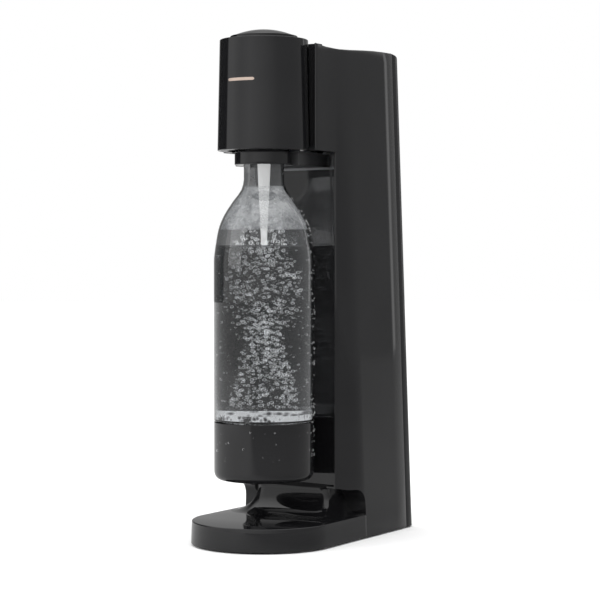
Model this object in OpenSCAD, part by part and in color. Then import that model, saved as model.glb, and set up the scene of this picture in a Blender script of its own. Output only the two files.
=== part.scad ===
// Soda carbonator: a column with a round head, a tilting bottle holder, a press button and a gas
// cylinder behind the bottle. Millimetres. +Z is up, the front faces -Y, and the origin is on the
// table under the middle of the machine.

/* [Overall] */
// Width of the foot, which is twice the radius of its round front
body_w = 120; // [110:1:145]
// Depth from the round front of the foot to the back of the rear cover
body_d = 218; // [210:1:262]
// Height of the column and head above the table, without the button
column_h = 412.4; // [405:0.1:495]
// Width of the column at its top
column_top_w = 90; // [88:1:96]

/* [Foot] */
// Height of the foot's flat top above the table
foot_top = 20; // [18:1:26]
// Height of the housing above the table, which the rubber feet fill
foot_gap = 1.2; // [1:0.1:3]
// Radius of a rubber foot
rubber_foot_r = 4; // [3:0.5:5]
// Thickness of the plate that closes the housing from below
base_plate_t = 2; // [1.5:0.5:3]

/* [Walls] */
// Thickness of the housing's walls
wall = 3; // [2:0.5:3.5]
// Radius of the column's rear upright corners
rear_corner_r = 12; // [6:1:15]
// Depth of the rear cover, from its back to the seam
rear_cover_d = 18.2; // [14:0.5:22]
// Gap between the rear cover and the housing along the seam
seam_gap = 0.4; // [0.3:0.1:0.6]

/* [Column front] */
// Distance from the bottle's axis to the front edges of the side walls
wing_front = 40; // [38:1:44]
// Distance from the bottle's axis to the corners where the side walls reach full width
wing_back = 66; // [60:1:70]
// Distance from the bottle's axis to the recessed front panel's edges
panel_front = 44; // [43:1:48]
// Radius of the front panel's hollow face
panel_hollow_r = 260; // [200:10:400]
// Thickness of the front panel at its edges
panel_t = 5.5; // [5:0.5:7]

/* [Waist] */
// Height of the ceiling of the two niches above the foot
niche_top = 42; // [38:1:48]
// Width of the waist between the two niches
waist_w = 76; // [70:1:84]
// Radius of the niche's rear upper corner
niche_corner_r = 12; // [6:1:14]

/* [Head] */
// Radius of the head at its top
head_top_r = 36; // [34:0.5:37]
// Radius of the head at its underside
head_low_r = 38; // [37:0.5:38.5]
// Height of the head, from its underside to its top
head_h = 90.4; // [85:0.1:100]
// Thickness of the head cover's wall
head_wall = 2.5; // [2:0.5:3]
// Distance behind the bottle's axis at which the side walls start beside the head
cheek_front = 8; // [4:1:14]
// Thickness of the plate that closes the head from below
underside_t = 3; // [2:0.5:4]

/* [Button] */
// Radius of the button
button_r = 27.5; // [25:0.5:28]
// Radial clearance between the button and its bezel
button_clearance = 0.5; // [0.3:0.1:0.8]
// Height of the button's domed cap above the head
button_proud = 8.6; // [8:0.1:10]
// Height of the upright band under the dome
button_band = 3.1; // [2.5:0.1:3.5]
// Travel of the button
button_travel = 6; // [4:0.5:6]
// Radius of the button's stem
stem_r = 5; // [4:0.5:6]

/* [Bottle] */
// Radius of the bottle's body
bottle_r = 41; // [35:0.5:43]
// Radius of the bottle's neck
neck_r = 16.4; // [15:0.1:17]
// Wall thickness of the bottle
bottle_wall = 1.4; // [1:0.1:2]
// Height of the bottle's lowest point above the table
bottle_low = 53; // [46:1:60]
// Height of the base cup around the bottle's foot
cup_h = 48; // [40:1:55]
// Radial clearance between the neck and the collar's bore
neck_clearance = 0.1; // [0.05:0.05:0.1]

/* [Bottle holder] */
// Radius of the collar that the bottle screws into
collar_r = 24; // [22:0.5:26]
// Height of the collar
collar_h = 11.5; // [10:0.5:13]
// Half the width of the holder's arms
yoke_half_w = 30; // [28:0.5:31]
// Distance from the bottle's axis to the holder's pivot
pivot_back = 52; // [51:1:54]
// Height of the pivot above the head's underside
pivot_up = 8; // [7:0.5:9]
// Radius of the nozzle at its root
nozzle_root_r = 5.35; // [4.5:0.05:6]
// Radius of the nozzle at its tip
nozzle_tip_r = 2.25; // [2:0.05:3]
// Length of the nozzle below the collar
nozzle_len = 65.5; // [50:0.5:75]

/* [Gas cylinder] */
// Radius of the gas cylinder
gas_r = 30; // [26:0.5:31]
// Height of the gas cylinder's foot above the table
gas_low = 13; // [12:0.5:20]
// Length of the gas cylinder's straight part and shoulder
gas_len = 307; // [290:1:312]
// Thickness of the gas cylinder's wall (mm)
gas_wall = 3.5; // [2.5:0.5:5]
// Radius of the hole up through the gas cylinder's neck (mm)
gas_bore = 5; // [4:0.5:6]
// Radius of the cylinder valve's threaded stem
valve_r = 10.5; // [9:0.5:12]
// Rise of the cylinder per turn
thread_lead = 1.8; // [1.5:0.1:1.8]

/* [Fits] */
// Running clearance of pins and plungers, radial
running = 0.06; // [0.03:0.01:0.08]
// Gap between a fixed piece and its neighbour
fit_gap = 0.15; // [0.1:0.05:0.2]
// Gap between pieces that move past each other
move_gap = 0.4; // [0.3:0.1:0.6]

/* [Hidden] */
$fn = 96;
eps = 0.01;

black = [0.06, 0.06, 0.065];
dark = [0.11, 0.11, 0.12];
steel = [0.72, 0.73, 0.75];
brass_colour = [0.80, 0.62, 0.28];

// Plan positions, measured along Y.
rear_y = body_d / 2;
base_r = body_w / 2;
axis_y = base_r - rear_y;
seam_y = rear_y - rear_cover_d;
panel_y = axis_y + panel_front;
panel_back_y = panel_y + panel_t;
pivot_y = axis_y + pivot_back;
frame_t = 3;
frame_y = pivot_y + 8;
gas_y = frame_y + frame_t + gas_r + 10;
lever_pivot_y = gas_y + 22;

// Heights.
head_low = column_h - head_h;
collar_low = head_low - collar_h;
pivot_z = head_low + pivot_up;
panel_top = collar_low - 2.5;
shelf_z = head_low + 54;
shelf_t = 3;
lever_z = head_low + 67;
lever_t = 6;
lever_top = lever_z + lever_t / 2;
lever_boss_r = 6;
guide_z = lever_top + 1.5;
guide_t = 2;
bezel_t = 3.4;
button_top = column_h + button_proud;
cup_top = bottle_low + cup_h;
gas_top = gas_low + gas_len;

// Half the width of the column's outside at a height.
function side_x(z) = base_r - (body_w - column_top_w) / 2 * z / column_h;
// Half the width of the outside between the wing's front edge and full width, at 0 <= t <= 1.
function wing_x(z, t) = column_top_w / 2 + (side_x(z) - column_top_w / 2) * (1 - (1 - t) * (1 - t));
// Half the width of the room between the side walls, at a height and a Y.
function room_x(z, y) =
    wing_x(z, min(1, max(0, (y - axis_y - wing_front) / (wing_back - wing_front)))) - wall;

module at_axis() { translate([0, axis_y, 0]) children(); }
module both_sides() { children(); mirror([1, 0, 0]) children(); }
module tube(r_out, r_in, z0, z1) {
    translate([0, 0, z0]) difference() {
        cylinder(r = r_out, h = z1 - z0);
        translate([0, 0, -1]) cylinder(r = r_in, h = z1 - z0 + 2);
    }
}
module box(x0, x1, y0, y1, z0, z1) {
    translate([x0, y0, z0]) cube([x1 - x0, y1 - y0, z1 - z0]);
}
// A rod along X through a point of the Y-Z plane.
module rod_x(r, x0, x1, y, z) {
    translate([x0, y, z]) rotate([0, 90, 0]) cylinder(r = r, h = x1 - x0);
}
// A rod along Y through a point of the X-Z plane.
module rod_y(r, y0, y1, x, z) {
    translate([x, y0, z]) rotate([-90, 0, 0]) cylinder(r = r, h = y1 - y0);
}

// ---- Outlines shared by the housing, the base plate and the rear cover ----

// The foot in plan: a round front, straight sides, and square or round rear corners.
module foot_outline(inset, back) {
    r = base_r - inset;
    translate([0, axis_y]) circle(r = r);
    translate([-r, axis_y]) square([2 * r, back - axis_y]);
}

// The column in plan at a height, from the wings' front edges to the seam.
module column_outline(z, inset, front_extra, back_extra) {
    steps = 6;
    front = axis_y + wing_front;
    right = [for (i = [0 : steps])
        let (t = i / steps)
        [wing_x(z, t) - inset, front + t * (wing_back - wing_front)]];
    outline = concat(
        [[column_top_w / 2 - inset, front - front_extra]],
        right,
        [[side_x(z) - inset, seam_y + back_extra]]);
    mirrored = [for (i = [len(outline) - 1 : -1 : 0]) [-outline[i][0], outline[i][1]]];
    polygon(concat(outline, mirrored));
}

module column_block(z0, z1, inset, front_extra, back_extra) {
    hull() {
        translate([0, 0, z0]) linear_extrude(eps) column_outline(z0, inset, front_extra, back_extra);
        translate([0, 0, z1 - eps])
            linear_extrude(eps) column_outline(z1, inset, front_extra, back_extra);
    }
}

// The side view above the column's shallow saddle: what lies in it is cut away.
module above_saddle(low_by) {
    top = column_h;
    rotate([90, 0, 90]) translate([0, -low_by, -body_w]) linear_extrude(2 * body_w) polygon([
        [axis_y - base_r, top - 1.4], [axis_y + cheek_front - 5, top - 1.4],
        [axis_y + cheek_front - 1, top - 3.4], [axis_y + cheek_front + 6, top - 4.6],
        [axis_y + 30, top - 5.4], [axis_y + 47, top - 5.1], [axis_y + 64, top - 4.1],
        [axis_y + 82, top - 2.7], [axis_y + 99, top - 1.4], [axis_y + 117, top - 0.6],
        [seam_y - 3, top - 0.1], [seam_y + 3, top - 0.3], [seam_y + 9, top - 1.6],
        [rear_y - 5, top - 4], [rear_y - 1, top - 8], [rear_y, top - 12], [rear_y + 9, top - 12],
        [rear_y + 9, top + 30], [axis_y - base_r, top + 30]
    ]);
}

// ---- Housing ----

// The cut that makes one niche: an arch in side view, with a flat ceiling.
module niche_cut() {
    back = axis_y + wing_back;
    translate([waist_w / 2, 0, 0]) rotate([90, 0, 90]) linear_extrude(body_w) difference() {
        translate([axis_y, foot_top]) square([wing_back, niche_top - foot_top]);
        translate([back - niche_corner_r, niche_top - niche_corner_r]) difference() {
            square(niche_corner_r + 1);
            circle(r = niche_corner_r);
        }
    }
}

// The waist between the niches, with a hollow flare on its sides and its front.
module waist() {
    hw = waist_w / 2;
    flare = niche_top - foot_top;
    back = axis_y + wing_back + 4;
    front = panel_y + 1;
    box(-hw, hw, front, back, foot_top - 1, niche_top + 1);
    both_sides() intersection() {
        difference() {
            box(hw - eps, hw + flare, front, back, foot_top - 1, niche_top);
            rod_y(flare, front - 1, back + 1, hw + flare, niche_top);
        }
        translate([0, 0, -1]) linear_extrude(niche_top + 1) foot_outline(0.4, seam_y);
    }
    difference() {
        box(-hw, hw, front - flare, front + eps, foot_top - 1, niche_top);
        rod_x(flare, -hw - 1, hw + 1, front - flare, niche_top);
    }
    both_sides() translate([hw, front, 0]) rotate([0, 0, -90]) rotate_extrude(angle = 90)
        difference() {
            translate([0, foot_top - 1]) square([flare, flare + 1]);
            translate([flare, niche_top]) circle(r = flare);
        }
}

module housing_solid() {
    front = axis_y + wing_front;
    translate([0, 0, foot_gap]) linear_extrude(foot_top - foot_gap) foot_outline(0, seam_y);
    difference() {
        column_block(foot_top - 1, column_h, 0, 0, 0);
        both_sides() niche_cut();
        box(-waist_w / 2 - eps, waist_w / 2 + eps, front - 1, panel_y + 1, foot_top, niche_top);
    }
    waist();
    both_sides() box(column_top_w / 2 - wall, column_top_w / 2, axis_y + cheek_front,
        front + 1, head_low, column_h);
}

module housing_room() {
    room_front = axis_y + wing_back + wall;
    hw = waist_w / 2 - wall;
    // Under the foot's top skin.
    translate([0, 0, -1]) linear_extrude(foot_top - wall + 1) foot_outline(wall, seam_y + 1);
    // Between the side walls above the niches, open to the front and the back.
    column_block(niche_top + wall, column_h + 1, wall, 1, 1);
    // Down through the waist.
    box(-hw, hw, panel_y + wall + 1, room_front + 1, 0, niche_top + wall + 1);
    // Behind the niches, down to the base plate.
    intersection() {
        column_block(0, column_h, wall, 0, 1);
        box(-body_w, body_w, room_front, seam_y + 1, -1, niche_top + wall + 1);
    }
}

boss_r = 4.5;
boss_spots = [
    [30, axis_y - 26], [-30, axis_y - 26],
    [base_r - wall - boss_r + 1, seam_y - 12], [-base_r + wall + boss_r - 1, seam_y - 12]
];
base_screw_r = 1.5;
plate_top = foot_gap + base_plate_t;

module main_housing() {
    color(black) difference() {
        union() {
            difference() {
                housing_solid();
                housing_room();
            }
            for (p = boss_spots) translate([p[0], p[1], plate_top + fit_gap])
                cylinder(r = boss_r, h = foot_top - wall - plate_top - fit_gap + 1);
            head_bulkhead();
        }
        above_saddle(0);
        for (p = boss_spots) translate([p[0], p[1], 0])
            cylinder(r = base_screw_r + running, h = foot_top - wall);
        both_sides() for (z = cover_hook_z)
            box(room_x(z, seam_y) - 0.5, room_x(z, seam_y) + 1.5, seam_y - 8, seam_y - 4, z - 6, z + 6);
    }
}

// Two uprights and two floors that close the grooves beside the head at their back and below.
module head_bulkhead() {
    x_in = yoke_half_w + 2;
    x_out = column_top_w / 2 - wall + eps;
    back = axis_y + wing_front + 1;
    both_sides() difference() {
        union() {
            box(x_in, x_out, back - 3, back, head_low, column_h - 12);
            box(x_in, x_out, axis_y + cheek_front, back, head_low, head_low + underside_t);
        }
        at_axis() translate([0, 0, head_low - 1]) cylinder(r = head_low_r + fit_gap, h = underside_t + 2);
    }
}

// ---- Rear cover ----

cover_hook_z = [110, 290];
cover_low = foot_gap;

module cover_outline(z, inset, front) {
    hx = side_x(z) - inset;
    r = rear_corner_r - inset;
    right = concat([[hx, front]], [for (a = [0 : 7.5 : 90])
        [hx - r + r * cos(a), rear_y - inset - r + r * sin(a)]]);
    left = [for (i = [len(right) - 1 : -1 : 0]) [-right[i][0], right[i][1]]];
    polygon(concat(right, left));
}

module cover_block(z0, z1, inset, front) {
    hull() {
        translate([0, 0, z0]) linear_extrude(eps) cover_outline(z0, inset, front);
        translate([0, 0, z1 - eps]) linear_extrude(eps) cover_outline(z1, inset, front);
    }
}

module rear_cover() {
    front = seam_y + seam_gap;
    color(black) union() {
        difference() {
            cover_block(cover_low, column_h, 0, front);
            above_saddle(0);
            difference() {
                cover_block(cover_low + wall, column_h, wall, front - 1);
                above_saddle(wall);
            }
        }
        both_sides() for (z = cover_hook_z) {
            x1 = room_x(z + 5, seam_y) - fit_gap;
            box(x1 - 2, x1, seam_y - 7, rear_y - rear_corner_r, z - 5, z + 5);
            box(x1 - 2, x1 + fit_gap + 1, rear_y - rear_corner_r - 3, rear_y - rear_corner_r,
                z - 5, z + 5);
        }
    }
}

// ---- Front panel ----

module front_panel() {
    low = niche_top + wall + 1 + fit_gap;
    x_low = room_x(low, panel_y) - fit_gap;
    x_high = room_x(panel_top, panel_y) - fit_gap;
    color(black) difference() {
        translate([0, panel_back_y, 0]) rotate([90, 0, 0]) linear_extrude(panel_t)
            polygon([[-x_low, low], [x_low, low], [x_high, panel_top], [-x_high, panel_top]]);
        translate([0, panel_y + 3 - panel_hollow_r, low - 1])
            cylinder(r = panel_hollow_r, h = panel_top, $fn = 360);
    }
}

// ---- Base ----

module base_plate() {
    inset = wall + fit_gap;
    color(dark) difference() {
        translate([0, 0, foot_gap]) linear_extrude(base_plate_t)
            foot_outline(inset, seam_y - fit_gap);
        for (p = boss_spots) translate([p[0], p[1], 0]) cylinder(r = base_screw_r + 0.4, h = 10);
        for (p = frame_screw_spots) translate([p[0], p[1], 0]) cylinder(r = base_screw_r + 0.4, h = 10);
    }
}

rubber_spots = [
    [20, axis_y - 46], [-20, axis_y - 46], [51, axis_y - 6], [-51, axis_y - 6],
    [base_r - 11, seam_y - 22], [-base_r + 11, seam_y - 22]
];

module rubber_feet() {
    color(dark) for (p = rubber_spots) translate([p[0], p[1], 0]) {
        cylinder(r = rubber_foot_r, h = foot_gap);
    }
}

// A pan-head screw that points up from its head's underside.
module screw_up(r, len, head_r, head_t) {
    difference() {
        union() {
            cylinder(r = r, h = len);
            translate([0, 0, -head_t]) cylinder(r = head_r, h = head_t);
        }
        for (a = [0, 90]) rotate([0, 0, a])
            translate([-head_r * 0.6, -0.35, -head_t - 1]) cube([head_r * 1.2, 0.7, 1 + head_t / 2]);
    }
}

module base_screws() {
    color(steel) for (p = boss_spots) translate([p[0], p[1], foot_gap])
        screw_up(base_screw_r, 12, 2.8, 1);
}

// ---- Inner frame ----

frame_half_w = 33;
frame_screw_spots = [[24, frame_y + 9], [-24, frame_y + 9]];
lug_in = yoke_half_w - 0.8 + move_gap;
lug_t = 3;
ear_in = 17;
ear_t = 3;
ear_top = lever_z + 8;
block_w = 40;
block_front = gas_y - 20;
block_back = gas_y + 20;
block_low = shelf_z - 38;
hose_r = 2.6;
hose_z = shelf_z - 14;
plunger_r = 3;
pin_r = 2.5;

module chassis() {
    color(steel) difference() {
        union() {
            // Upright plate, foot flange, shelf, lever ears and yoke lugs.
            box(-frame_half_w, frame_half_w, frame_y, frame_y + frame_t, plate_top + fit_gap,
                shelf_z + shelf_t);
            box(-frame_half_w, frame_half_w, frame_y, frame_y + 15, plate_top, plate_top + 2);
            box(-frame_half_w, frame_half_w, frame_y, lever_pivot_y + 12, shelf_z, shelf_z + shelf_t);
            both_sides() {
                box(ear_in, ear_in + ear_t, lever_pivot_y - 9, lever_pivot_y + 9, shelf_z, ear_top);
                box(lug_in, lug_in + lug_t, pivot_y - 7, frame_y + 1, pivot_z - 9, pivot_z + 9);
                box(lug_in, frame_half_w + 4, frame_y, frame_y + frame_t, pivot_z - 9, shelf_z);
                // Posts that tie the frame to the head's side plates.
                box(frame_half_w - 1, room_x(shelf_z, frame_y) - fit_gap, frame_y, frame_y + frame_t,
                    shelf_z - 24, shelf_z + shelf_t);
            }
        }
        // Window below the valve block, so that the plate clears the pipework.
        box(-20, 20, frame_y - 1, frame_y + frame_t + 1, 120, shelf_z - 70);
        rod_y(hose_r + 1.5, frame_y - 1, frame_y + frame_t + 1, 0, hose_z);
        rod_x(pin_r + running, -ear_in - ear_t - 1, ear_in + ear_t + 1, lever_pivot_y, lever_z);
        rod_x(pin_r + running, -lug_in - lug_t - 5, lug_in + lug_t + 5, pivot_y, pivot_z);
        translate([0, gas_y, shelf_z - 1]) cylinder(r = plunger_r + 1, h = shelf_t + 2);
        for (p = frame_screw_spots) translate([p[0], p[1], 0]) cylinder(r = base_screw_r + running, h = 10);
        for (p = block_screw_spots) translate([p[0], p[1], shelf_z - 1])
            cylinder(r = base_screw_r + 0.3, h = shelf_t + 2);
    }
}

module chassis_screws() {
    color(steel) for (p = frame_screw_spots) translate([p[0], p[1], foot_gap])
        screw_up(base_screw_r, 6, 2.8, 1);
}

block_screw_spots = [for (x = [-14, 14], y = [-14, 14]) [x, gas_y + y]];

module valve_block_screws() {
    color(steel) for (p = block_screw_spots) translate([p[0], p[1], shelf_z + shelf_t])
        mirror([0, 0, 1]) screw_up(base_screw_r, 12, 2.8, 1.6);
}

// ---- Gas cylinder ----

// Half the cylinder's section, from its base up to its neck, pulled in by a wall's thickness.
function gas_section(inset) =
    let (foot_r = 7, shoulder_h = 24, neck = valve_r + 1.5, arc = 10, side = gas_r - 1)
    concat(
        [[0, gas_low + inset], [side - foot_r, gas_low + inset]],
        [for (i = [1 : arc]) let (a = 90 * i / arc)
            [side - foot_r + (foot_r - inset) * sin(a), gas_low + foot_r - (foot_r - inset) * cos(a)]],
        [for (i = [0 : arc]) let (a = 90 * i / arc)
            [neck + (side - neck - inset) * cos(a),
                gas_top - shoulder_h + (shoulder_h - 6 - inset) * sin(a)]]);

module cylinder_body() {
    neck = valve_r + 1.5;
    color([0.76, 0.77, 0.79]) translate([0, gas_y, 0]) difference() {
        rotate_extrude() polygon(concat(gas_section(0), [[neck, gas_top], [0, gas_top]]));
        rotate_extrude() polygon(concat(gas_section(gas_wall),
            [[gas_bore, gas_top - 6 - gas_wall], [gas_bore, gas_top + 1], [0, gas_top + 1]]));
    }
}

module cylinder_sleeve() {
    color([0.86, 0.92, 0.92]) translate([0, gas_y, 0])
        tube(gas_r, gas_r - 1, gas_low + 8, gas_top - 27);
}

valve_top = shelf_z - 22;

module cylinder_valve() {
    color(brass_colour) translate([0, gas_y, 0]) union() {
        translate([0, 0, gas_top]) cylinder(r = valve_r + 1, h = 8);
        translate([0, 0, gas_top + 8 - eps]) cylinder(r = valve_r, h = valve_top - gas_top - 8 + eps);
    }
}

module valve_washer() {
    color(dark) translate([0, gas_y, 0]) tube(valve_r - 0.6, 3.6, valve_top + fit_gap, valve_top + 1.6);
}

module cylinder_cradle() {
    ring_t = 4;
    fall = 3.2 * thread_lead;
    color(dark) translate([0, gas_y, 0]) {
        difference() {
            translate([0, 0, plate_top]) cylinder(r = gas_r + 1 + ring_t, h = gas_low + 12 - plate_top);
            translate([0, 0, gas_low - fall - move_gap]) cylinder(r = gas_r + 1, h = 60);
            translate([-body_w, -gas_r - 30, 0]) cube([2 * body_w, 34 + 2, 60]);
        }
    }
}

// ---- Gas path ----

module valve_block() {
    bore_top = valve_top + 1.6 + 0.4;
    color(steel) difference() {
        union() {
            box(-block_w / 2, block_w / 2, block_front, block_back, block_low, shelf_z);
            rod_y(6, block_front - 4, block_front + 1, 0, hose_z);
        }
        translate([0, gas_y, block_low - 1]) cylinder(r = valve_r + running, h = bore_top - block_low + 1);
        translate([0, gas_y, bore_top - 1]) cylinder(r = plunger_r + running, h = shelf_z - bore_top + 2);
        rod_y(1.6, block_front - 5, gas_y, 0, hose_z);
        for (p = block_screw_spots) translate([p[0], p[1], shelf_z - 14])
            cylinder(r = base_screw_r + running, h = 15);
        rod_x(3 + running, block_w / 2 - 8, block_w / 2 + 1, gas_y, hose_z);
    }
}

module relief_valve() {
    color(brass_colour) difference() {
        union() {
            rod_x(3, block_w / 2 - 7, block_w / 2 + 1, gas_y, hose_z);
            translate([block_w / 2, gas_y, hose_z]) rotate([0, 90, 0]) cylinder(r = 5, h = 5, $fn = 6);
            rod_x(3.4, block_w / 2 + 4, block_w / 2 + 11, gas_y, hose_z);
        }
        rod_x(1, block_w / 2 + 6, block_w / 2 + 12, gas_y, hose_z);
    }
}

plunger_low = valve_top + 1.4;
plunger_top = lever_z - lever_t / 2 - 3;

module valve_plunger() {
    color(brass_colour) translate([0, gas_y, 0]) union() {
        translate([0, 0, plunger_low]) cylinder(r = plunger_r, h = plunger_top - plunger_low);
        translate([0, 0, plunger_top - 2]) cylinder(r = plunger_r + 1.5, h = 2);
    }
}

module plunger_seal() {
    color(dark) translate([0, gas_y, 0])
        tube(plunger_r + 0.9, plunger_r + 0.15, shelf_z + fit_gap, shelf_z + 1.4);
}

hose_end_z = head_low + 14.2;
hose_bend = 12;

module gas_hose() {
    color([0.9, 0.9, 0.88]) {
        rod_y(hose_r, axis_y + hose_bend, block_front - 12, 0, hose_z);
        translate([0, axis_y + hose_bend, hose_z - hose_bend]) rotate([90, 0, 0]) rotate([0, -90, 0])
            rotate_extrude(angle = 90) translate([hose_bend, 0]) circle(r = hose_r);
        at_axis() translate([0, 0, hose_end_z])
            cylinder(r = hose_r, h = hose_z - hose_bend - hose_end_z + eps);
    }
}

module hose_fittings() {
    color(brass_colour) difference() {
        rod_y(4.5, block_front - 12, block_front - 4, 0, hose_z);
        rod_y(1.6, block_front - 13, block_front - 3, 0, hose_z);
    }
}

// ---- Lever ----

lever_half_w = 9;
lever_front_y = axis_y - 8;
adjust_r = 2.5;

module actuator_lever() {
    color(steel) difference() {
        union() {
            box(-lever_half_w, lever_half_w, lever_front_y, lever_pivot_y, lever_z - lever_t / 2, lever_top);
            rod_x(lever_boss_r, -ear_in + move_gap, ear_in - move_gap, lever_pivot_y, lever_z);
        }
        rod_x(pin_r + running, -ear_in - 1, ear_in + 1, lever_pivot_y, lever_z);
        translate([0, gas_y, lever_z - 5]) cylinder(r = adjust_r + running, h = 12);
        // Lightening slots along the arm.
        for (y = [axis_y + 20, axis_y + 52]) box(-4, 4, y, y + 24, lever_z - 5, lever_z + 5);
    }
}

module lever_adjusting_screw() {
    len = lever_t + 2.6;
    color(steel) translate([0, gas_y, lever_top - len]) difference() {
        union() {
            cylinder(r = adjust_r, h = len);
            translate([0, 0, len]) cylinder(r = 4, h = 2.6);
        }
        translate([-3, -0.5, len + 1.4]) cube([6, 1, 3]);
    }
}

module lever_pivot_pin() {
    out = ear_in + ear_t + 3;
    color(steel) rod_x(pin_r, -out, out, lever_pivot_y, lever_z);
}

module lever_clips() {
    x0 = ear_in + ear_t + 0.3;
    color(steel) both_sides() difference() {
        rod_x(4.5, x0, x0 + 1.2, lever_pivot_y, lever_z);
        rod_x(pin_r + running, x0 - 1, x0 + 3, lever_pivot_y, lever_z);
        box(x0 - 1, x0 + 3, lever_pivot_y - 1.5, lever_pivot_y + 1.5, lever_z, lever_z + 6);
    }
}

// ---- Head ----

function head_r(z) = head_low_r + (head_top_r - head_low_r) * (z - head_low) / head_h;

module head_cover() {
    open_w = yoke_half_w + 1;
    color(black) at_axis() difference() {
        rotate_extrude() polygon([
            [head_low_r, head_low], [head_top_r, column_h], [head_top_r - head_wall, column_h],
            [head_low_r - head_wall, head_low]
        ]);
        box(-open_w, open_w, 0, head_low_r + 5, head_low - 1, column_h - 12);
    }
}

module head_underside() {
    r_in = head_low_r - head_wall - fit_gap;
    slot = yoke_half_w + 1.5;
    color(dark) difference() {
        union() {
            at_axis() translate([0, 0, head_low]) cylinder(r = r_in, h = underside_t);
            at_axis() tube(r_in - 1, r_in - 3, head_low, head_low + 9);
        }
        box(-slot, slot, axis_y, axis_y + 60, head_low - 1, head_low + 20);
        at_axis() translate([0, 0, head_low - 1]) cylinder(r = slot - 1.5, h = 20);
        for (s = [-1, 1]) translate([s * 33.2, axis_y + 4, head_low - 1])
            cylinder(r = 1, h = 14);
    }
}

module head_screws() {
    color(steel) for (s = [-1, 1]) translate([s * 33.2, axis_y + 4, head_low])
        screw_up(1 - running, 8, 1.6, 0.6);
}

module top_cover() {
    hx = room_x(column_h, seam_y) - fit_gap;
    clear_r = head_top_r + 0.5;
    color(black) difference() {
        box(-hx, hx, axis_y + 20, seam_y - fit_gap, column_h - 12, column_h + 1);
        above_saddle(0);
        difference() {
            box(-hx + 2, hx - 2, axis_y, seam_y - 2.5, column_h - 20, column_h + 2);
            above_saddle(2.5);
        }
        at_axis() translate([0, 0, column_h - 20]) cylinder(r = clear_r, h = 40);
        both_sides() box(yoke_half_w + 2 - fit_gap, hx + 1, axis_y, axis_y + wing_front + 1 + fit_gap,
            column_h - 20, column_h - 12 + fit_gap);
    }
}

bezel_r_in = button_r + button_clearance;

module button_bezel() {
    r_out = head_r(column_h - bezel_t) - head_wall - fit_gap;
    skirt = 2;
    color(dark) at_axis() rotate_extrude() polygon([
        [bezel_r_in, guide_z + guide_t], [bezel_r_in + skirt, guide_z + guide_t],
        [bezel_r_in + skirt, column_h - bezel_t], [r_out, column_h - bezel_t],
        [r_out, column_h], [bezel_r_in, column_h]
    ]);
}

module button_guide() {
    hole_r = 5;
    color([0.82, 0.82, 0.8]) at_axis() difference() {
        union() {
            translate([0, 0, guide_z]) cylinder(r = bezel_r_in + 2, h = guide_t);
            translate([0, 0, guide_z]) cylinder(r = stem_r + 2, h = guide_t + 2);
        }
        translate([0, 0, guide_z - 1]) cylinder(r = stem_r + running, h = guide_t + 4);
        for (a = [45 : 90 : 315]) rotate([0, 0, a])
            translate([19, 0, guide_z - 1]) cylinder(r = hole_r, h = guide_t + 2);
    }
}

button_under = button_top - 6;

module carbonating_button() {
    dome_r = button_r - 1.5;
    band_top = column_h + button_band;
    rise = button_top - band_top;
    sphere_r = (dome_r * dome_r + rise * rise) / (2 * rise);
    skirt_low = guide_z + guide_t + 1 + button_travel;
    color(black) at_axis() union() {
        difference() {
            union() {
                translate([0, 0, skirt_low]) cylinder(r = button_r, h = band_top - skirt_low);
                intersection() {
                    translate([0, 0, button_top - sphere_r]) sphere(r = sphere_r, $fn = 180);
                    translate([0, 0, band_top - 1]) cylinder(r = dome_r, h = rise + 2);
                }
            }
            translate([0, 0, skirt_low - 1]) cylinder(r = button_r - 2, h = button_under - skirt_low + 1);
        }
        translate([0, 0, lever_top + 0.35]) cylinder(r = stem_r, h = button_under - lever_top + 0.65);
    }
}

module button_spring() {
    color(steel) at_axis() tube(10.5, 9, guide_z + guide_t, button_under);
}

// ---- Bottle holder ----

module tilt_yoke() {
    z0 = collar_low;
    rear = pivot_y + 6;
    narrow = lug_in - move_gap;
    ear = 5;
    color(black) difference() {
        union() {
            box(-yoke_half_w, yoke_half_w, axis_y + 4, axis_y + wing_front + 2, z0, head_low - 0.5);
            box(-narrow, narrow, axis_y + wing_front, rear, z0, head_low - 0.5);
            both_sides() {
                box(narrow - ear, narrow, pivot_y - 6, rear, head_low - 1, pivot_z);
                rod_x(6, narrow - ear, narrow, pivot_y, pivot_z);
            }
        }
        at_axis() translate([0, 0, z0 - 1]) cylinder(r = collar_r + running, h = collar_h + 2);
        rod_x(pin_r + running, -narrow - 1, narrow + 1, pivot_y, pivot_z);
        for (s = [-1, 1]) rod_y(1.2, axis_y, axis_y + 40, s * 12, z0 + collar_h / 2);
    }
}

module yoke_pivot_pins() {
    color(steel) both_sides() rod_x(pin_r, lug_in - move_gap - 5, lug_in + lug_t, pivot_y, pivot_z);
}

neck_bore = neck_r + neck_clearance;
seal_t = 2;
seal_low = head_low - 1.5 - seal_t;

module bottle_collar() {
    color(black) at_axis() difference() {
        translate([0, 0, collar_low]) cylinder(r = collar_r, h = collar_h - 0.5);
        translate([0, 0, collar_low - 1]) cylinder(r = neck_bore, h = collar_h - seal_t - 0.5 + 1);
        translate([0, 0, collar_low + 1]) cylinder(r = neck_bore - 3, h = collar_h);
        for (s = [-1, 1]) translate([s * 12, 0, collar_h / 2 + collar_low]) rotate([-90, 0, 0])
            cylinder(r = 1.2, h = collar_r + 1);
    }
}

module collar_screws() {
    y1 = axis_y + wing_front + 2;
    color(steel) for (s = [-1, 1]) rod_y(1.2 - running, y1 - 26, axis_y + 36, s * 12, collar_low + collar_h / 2);
}

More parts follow.
